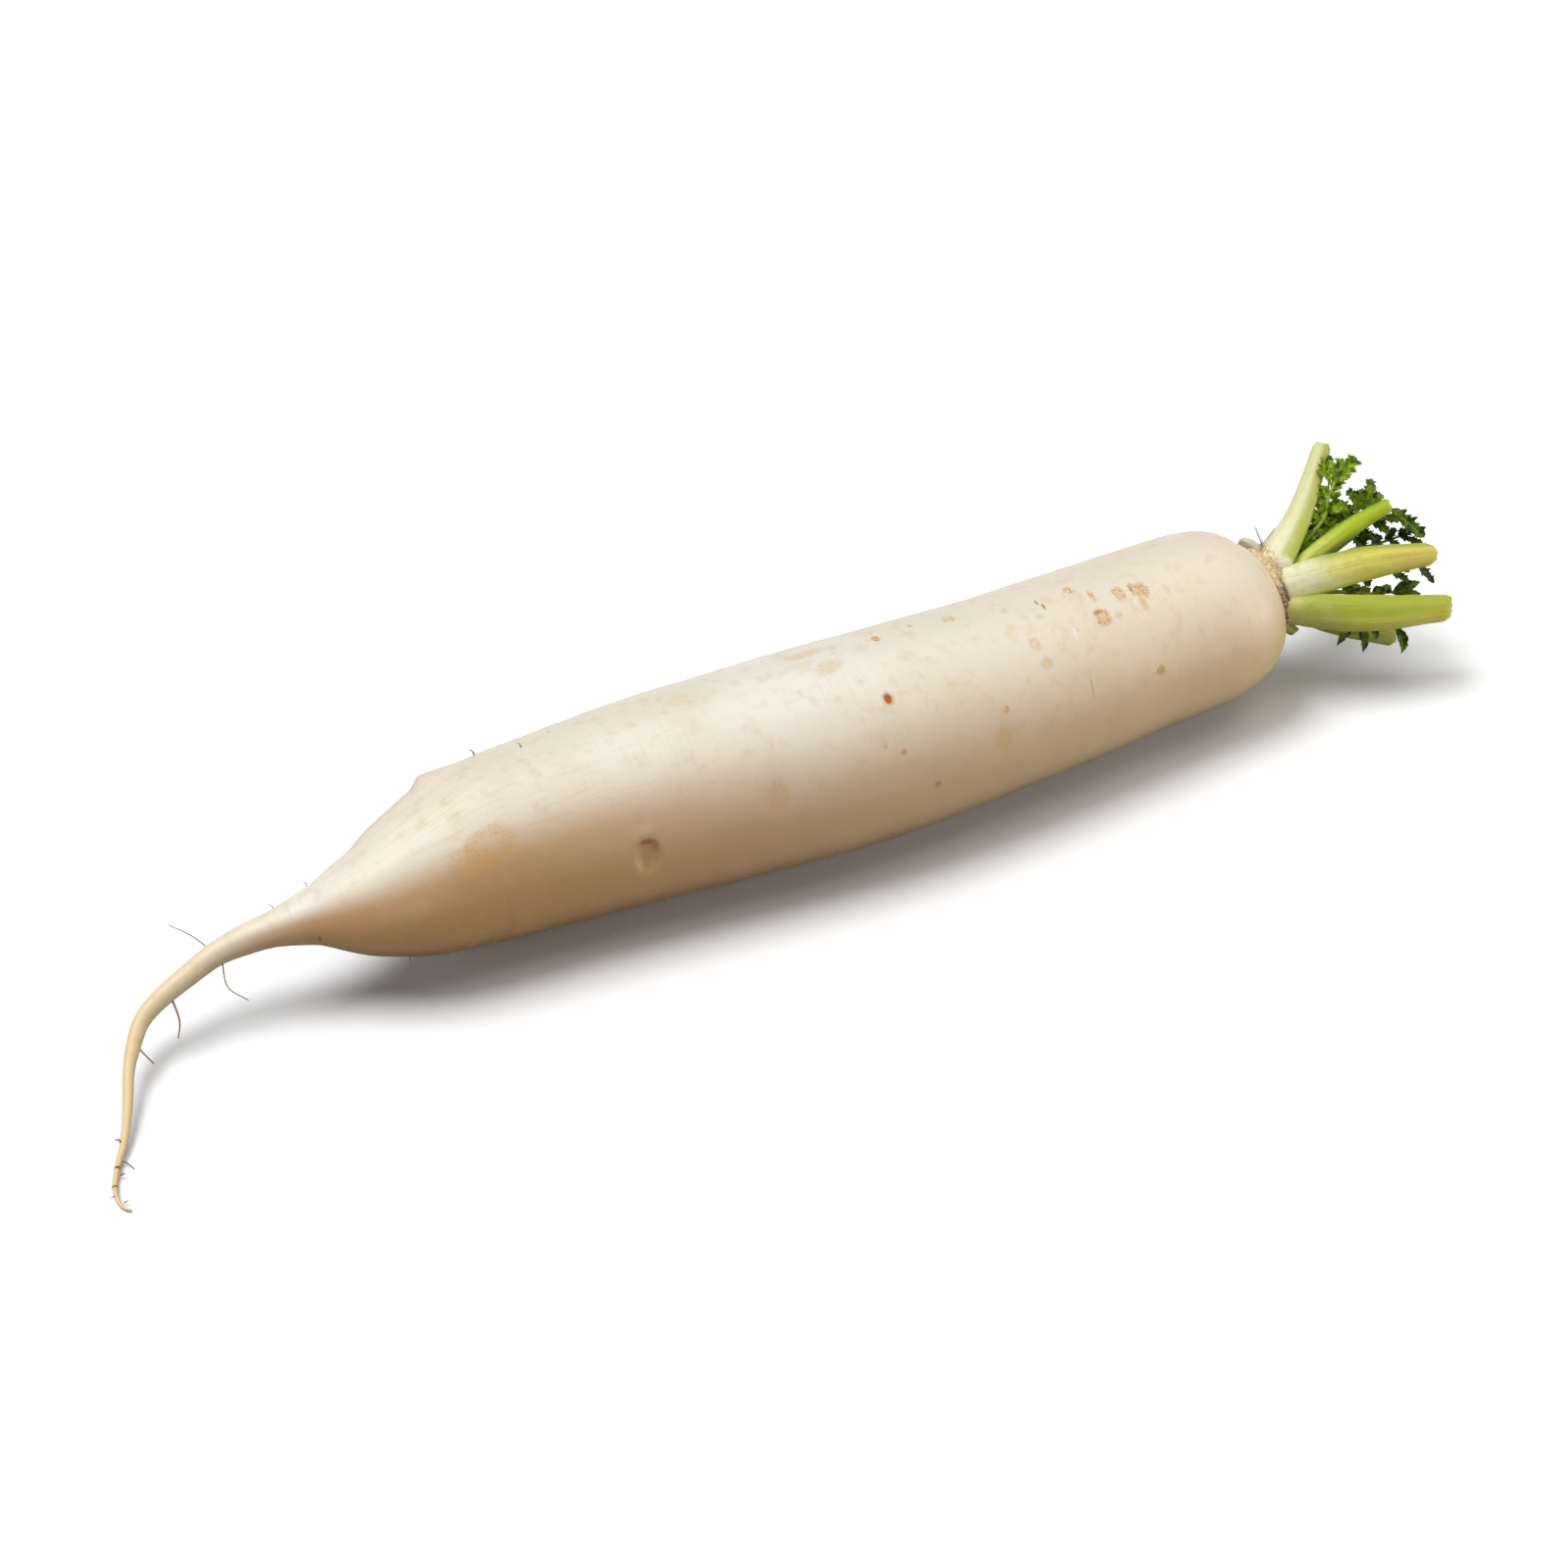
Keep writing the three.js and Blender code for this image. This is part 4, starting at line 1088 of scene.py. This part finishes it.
def stalk_material(name, spec):
    """Whitish at the base, green further out, with ribs, blotches, pale dots and a pithy cut."""
    material, tree, shader = new_material(name + "_skin")
    base, middle, tip = spec["colors"]
    deep = tuple(int(value * 0.86) for value in middle)
    place = object_millimetres(tree)
    along, turn = attribute(tree, "along"), attribute(tree, "rib")
    share = along + place.noise(0.12, 2.0).ramp(0.3, 0.7, -0.08, 0.08)
    color = share.ramp(0.02, 0.5).between(base, middle)
    color = share.ramp(0.5, 0.95).between(color, tip)
    sideways = turn.math("SINE")
    color = stalk_sides(spec, share, sideways, color)
    around = combined(sideways, turn.math("COSINE"), along * 0.4)
    rib = around.noise(8.0, 3.0, 0.6).ramp(0.38, 0.62)
    color = (rib * share.ramp(0.1, 0.5, 0.14, 0.36)).between(color, deep)
    color = place.noise(0.4, 4.0, 0.6).ramp(0.45, 0.75, 0.0, 0.35).between(color, deep)
    dots = Shade(tree, "TexVoronoi", {"Vector": place, "Scale": 1.0}, "Distance")
    dots = dots.ramp(0.08, 0.2, 0.5, 0.0)
    color = dots.between(color, DOT_PALE)
    pith = place.noise(1.5, 4.0).ramp(0.35, 0.65).between(PITH_PALE, PITH_DARK)
    color = attribute(tree, "cut").between(color, pith)
    feed(shader.inputs["Base Color"], color)
    shader.inputs["Roughness"].default_value = 0.45
    shader.inputs["Subsurface Weight"].default_value = 0.12
    shader.inputs["Subsurface Radius"].default_value = (0.8, 1.0, 0.3)
    shader.inputs["Subsurface Scale"].default_value = 0.002
    add_bump(shader, dots - rib * 0.4, 0.5, 0.0003)
    return material


def stalk_sides(spec, share, sideways, color):
    """Lays the greener edges of a stalk over its colour, and the green strip that one has."""
    red, green, blue = spec["colors"][1]
    edges = sideways.math("ABSOLUTE").ramp(0.6, 0.95, 0.0, spec.get("edge", EDGE_GREEN))
    edges = edges * share.ramp(0.05, 0.3)
    color = edges.between(color, (red * 0.66, green * 0.74, blue * 0.4))
    strip = sideways.ramp(-0.7, -0.1, spec.get("strip", 0.0), 0.0)
    return (strip * share.ramp(0.0, 0.15)).between(color, STRIP_GREEN)


def leaf_material(name, colors):
    """Green blades with pale ribs and side veins, which let some light through."""
    material, tree, shader = new_material(name + "_green")
    dark, young = colors
    pale = tuple(int(0.5 * value + 0.5 * vein) for value, vein in zip(young, VEIN_GREEN))
    place = object_millimetres(tree)
    along, tone = attribute(tree, "along"), attribute(tree, "tone")
    side = attribute(tree, "across").math("ABSOLUTE")
    patchy = place.noise(0.45, 3.0).ramp(0.4, 0.57, 0.0, 0.9)
    light = patchy.math("MAXIMUM", tone.ramp(0.6, 1.0, 0.0, 0.9))
    color = light.between(dark, young)
    wave = ((along * 7.0 - side * 1.6) * TURN).math("COSINE")
    veins = wave.ramp(0.9, 1.0, 0.0, 0.45)
    color = veins.math("MAXIMUM", side.ramp(0.03, 0.12, 0.8, 0.0)).between(color, pale)
    color = tone.ramp(-0.9, -0.1, 1.0, 0.0).between(color, pale)
    feed(shader.inputs["Base Color"], color)
    shader.inputs["Roughness"].default_value = 0.5
    add_bump(shader, wave, 0.5, 0.0004)
    glow = Shade(tree, "BsdfTranslucent", {"Color": color})
    both = Shade(tree, "MixShader", {0: 0.4, 1: shader.outputs[0], 2: glow})
    feed(tree.nodes["Material Output"].inputs[0], both)
    return material


# Floor, light and camera
# Half width of the floor and its gap under the root, in metres, and two whites that add up.
FLOOR_REACH = 6.0
FLOOR_DROP = 0.0002
FLOOR_WHITES = [(0.8, 0.805, 0.815, 1), (0.35, 0.353, 0.358, 1)]

# White softboxes: direction, strength and angle across. Warm lamps: direction, distance in
# metres, size and strength.
SOFTBOXES = [
    ("back_box", (-0.4, 0.22, 0.89), 1.86, 34),
    ("top_box", (0.2, 0.14, 0.97), 1.1, 66),
    ("left_box", (-0.88, 0.38, 0.3), 0.45, 44),
]
WARM_LAMPS = [
    ("crown_fill", (0.86, -0.42, 0.12), 0.75, 0.3, 2.1),
    ("front_fill", (-0.3, -0.92, 0.12), 1.6, 0.45, 6.0),
]
WARM = (1.0, 0.94, 0.85)
ROOM_LIGHT = 0.02

# The camera: its height and turn in degrees, its distance in metres, and its lens.
CAMERA_ELEVATION = 40
CAMERA_AZIMUTH = -27
CAMERA_DISTANCE = 1.281
CAMERA_LENS = 85


def make_floor():
    """A wide white floor just under the root. It throws no light back up."""
    corners = [(-FLOOR_REACH, -FLOOR_REACH), (FLOOR_REACH, -FLOOR_REACH),
               (FLOOR_REACH, FLOOR_REACH), (-FLOOR_REACH, FLOOR_REACH)]
    mesh = bpy.data.meshes.new("floor")
    mesh.from_pydata([(x, y, -FLOOR_DROP) for x, y in corners], [], [(0, 1, 2, 3)])
    floor = add_object("floor", mesh)
    material, tree, _ = new_material("floor_white")
    first, second = (Shade(tree, "BsdfDiffuse", {"Color": white}) for white in FLOOR_WHITES)
    both = Shade(tree, "AddShader", {0: first, 1: second})
    feed(tree.nodes["Material Output"].inputs[0], both)
    mesh.materials.append(material)
    floor.visible_diffuse = False


def make_lamp(name, kind, direction, strength, color=(1, 1, 1)):
    """A lamp that shines at the root from a direction."""
    data = bpy.data.lights.new(name, kind)
    data.energy = strength
    data.color = color
    lamp = add_object(name, data)
    back = Vector(direction).normalized()
    aim(lamp, back)
    return lamp, back


def make_lights():
    """Wide white light from above and behind, and warm light from the front and the crown end."""
    for name, direction, strength, spread in SOFTBOXES:
        lamp, _ = make_lamp(name, "SUN", direction, strength)
        lamp.data.angle = math.radians(spread)
    for name, direction, distance, size, strength in WARM_LAMPS:
        lamp, back = make_lamp(name, "AREA", direction, strength, WARM)
        lamp.data.size = size
        lamp.location = back * distance
    world = bpy.data.worlds.new("studio")
    bpy.context.scene.world = world
    world.use_nodes = True
    background = world.node_tree.nodes["Background"]
    background.inputs[0].default_value = (1, 1, 1, 1)
    background.inputs[1].default_value = ROOM_LIGHT


def make_camera():
    elevation, azimuth = math.radians(CAMERA_ELEVATION), math.radians(CAMERA_AZIMUTH)
    back = Vector((
        math.sin(azimuth) * math.cos(elevation),
        -math.cos(azimuth) * math.cos(elevation),
        math.sin(elevation),
    ))
    data = bpy.data.cameras.new("camera")
    data.lens = CAMERA_LENS
    data.sensor_width = 36
    data.clip_start = 0.05
    data.clip_end = 50
    camera = add_object("camera", data)
    camera.location = Vector(OFFSET * MM) + back * CAMERA_DISTANCE
    aim(camera, back)
    bpy.context.scene.camera = camera


def paint(piece, material):
    piece.data.materials.append(material)


skin = root_material()
paint(make_taproot(), skin)
paint(make_hairs(), skin)
paint(make_crown_stem(), stem_material())
for stalk_name, stalk_spec in STALKS.items():
    paint(make_stalk(stalk_name, stalk_spec), stalk_material(stalk_name, stalk_spec))
for leaf_name, leaf_spec in LEAVES.items():
    paint(make_leaf(leaf_name, leaf_spec), leaf_material(leaf_name, leaf_spec["colors"]))

make_floor()
make_lights()
make_camera()
bpy.context.scene.view_settings.view_transform = "Standard"
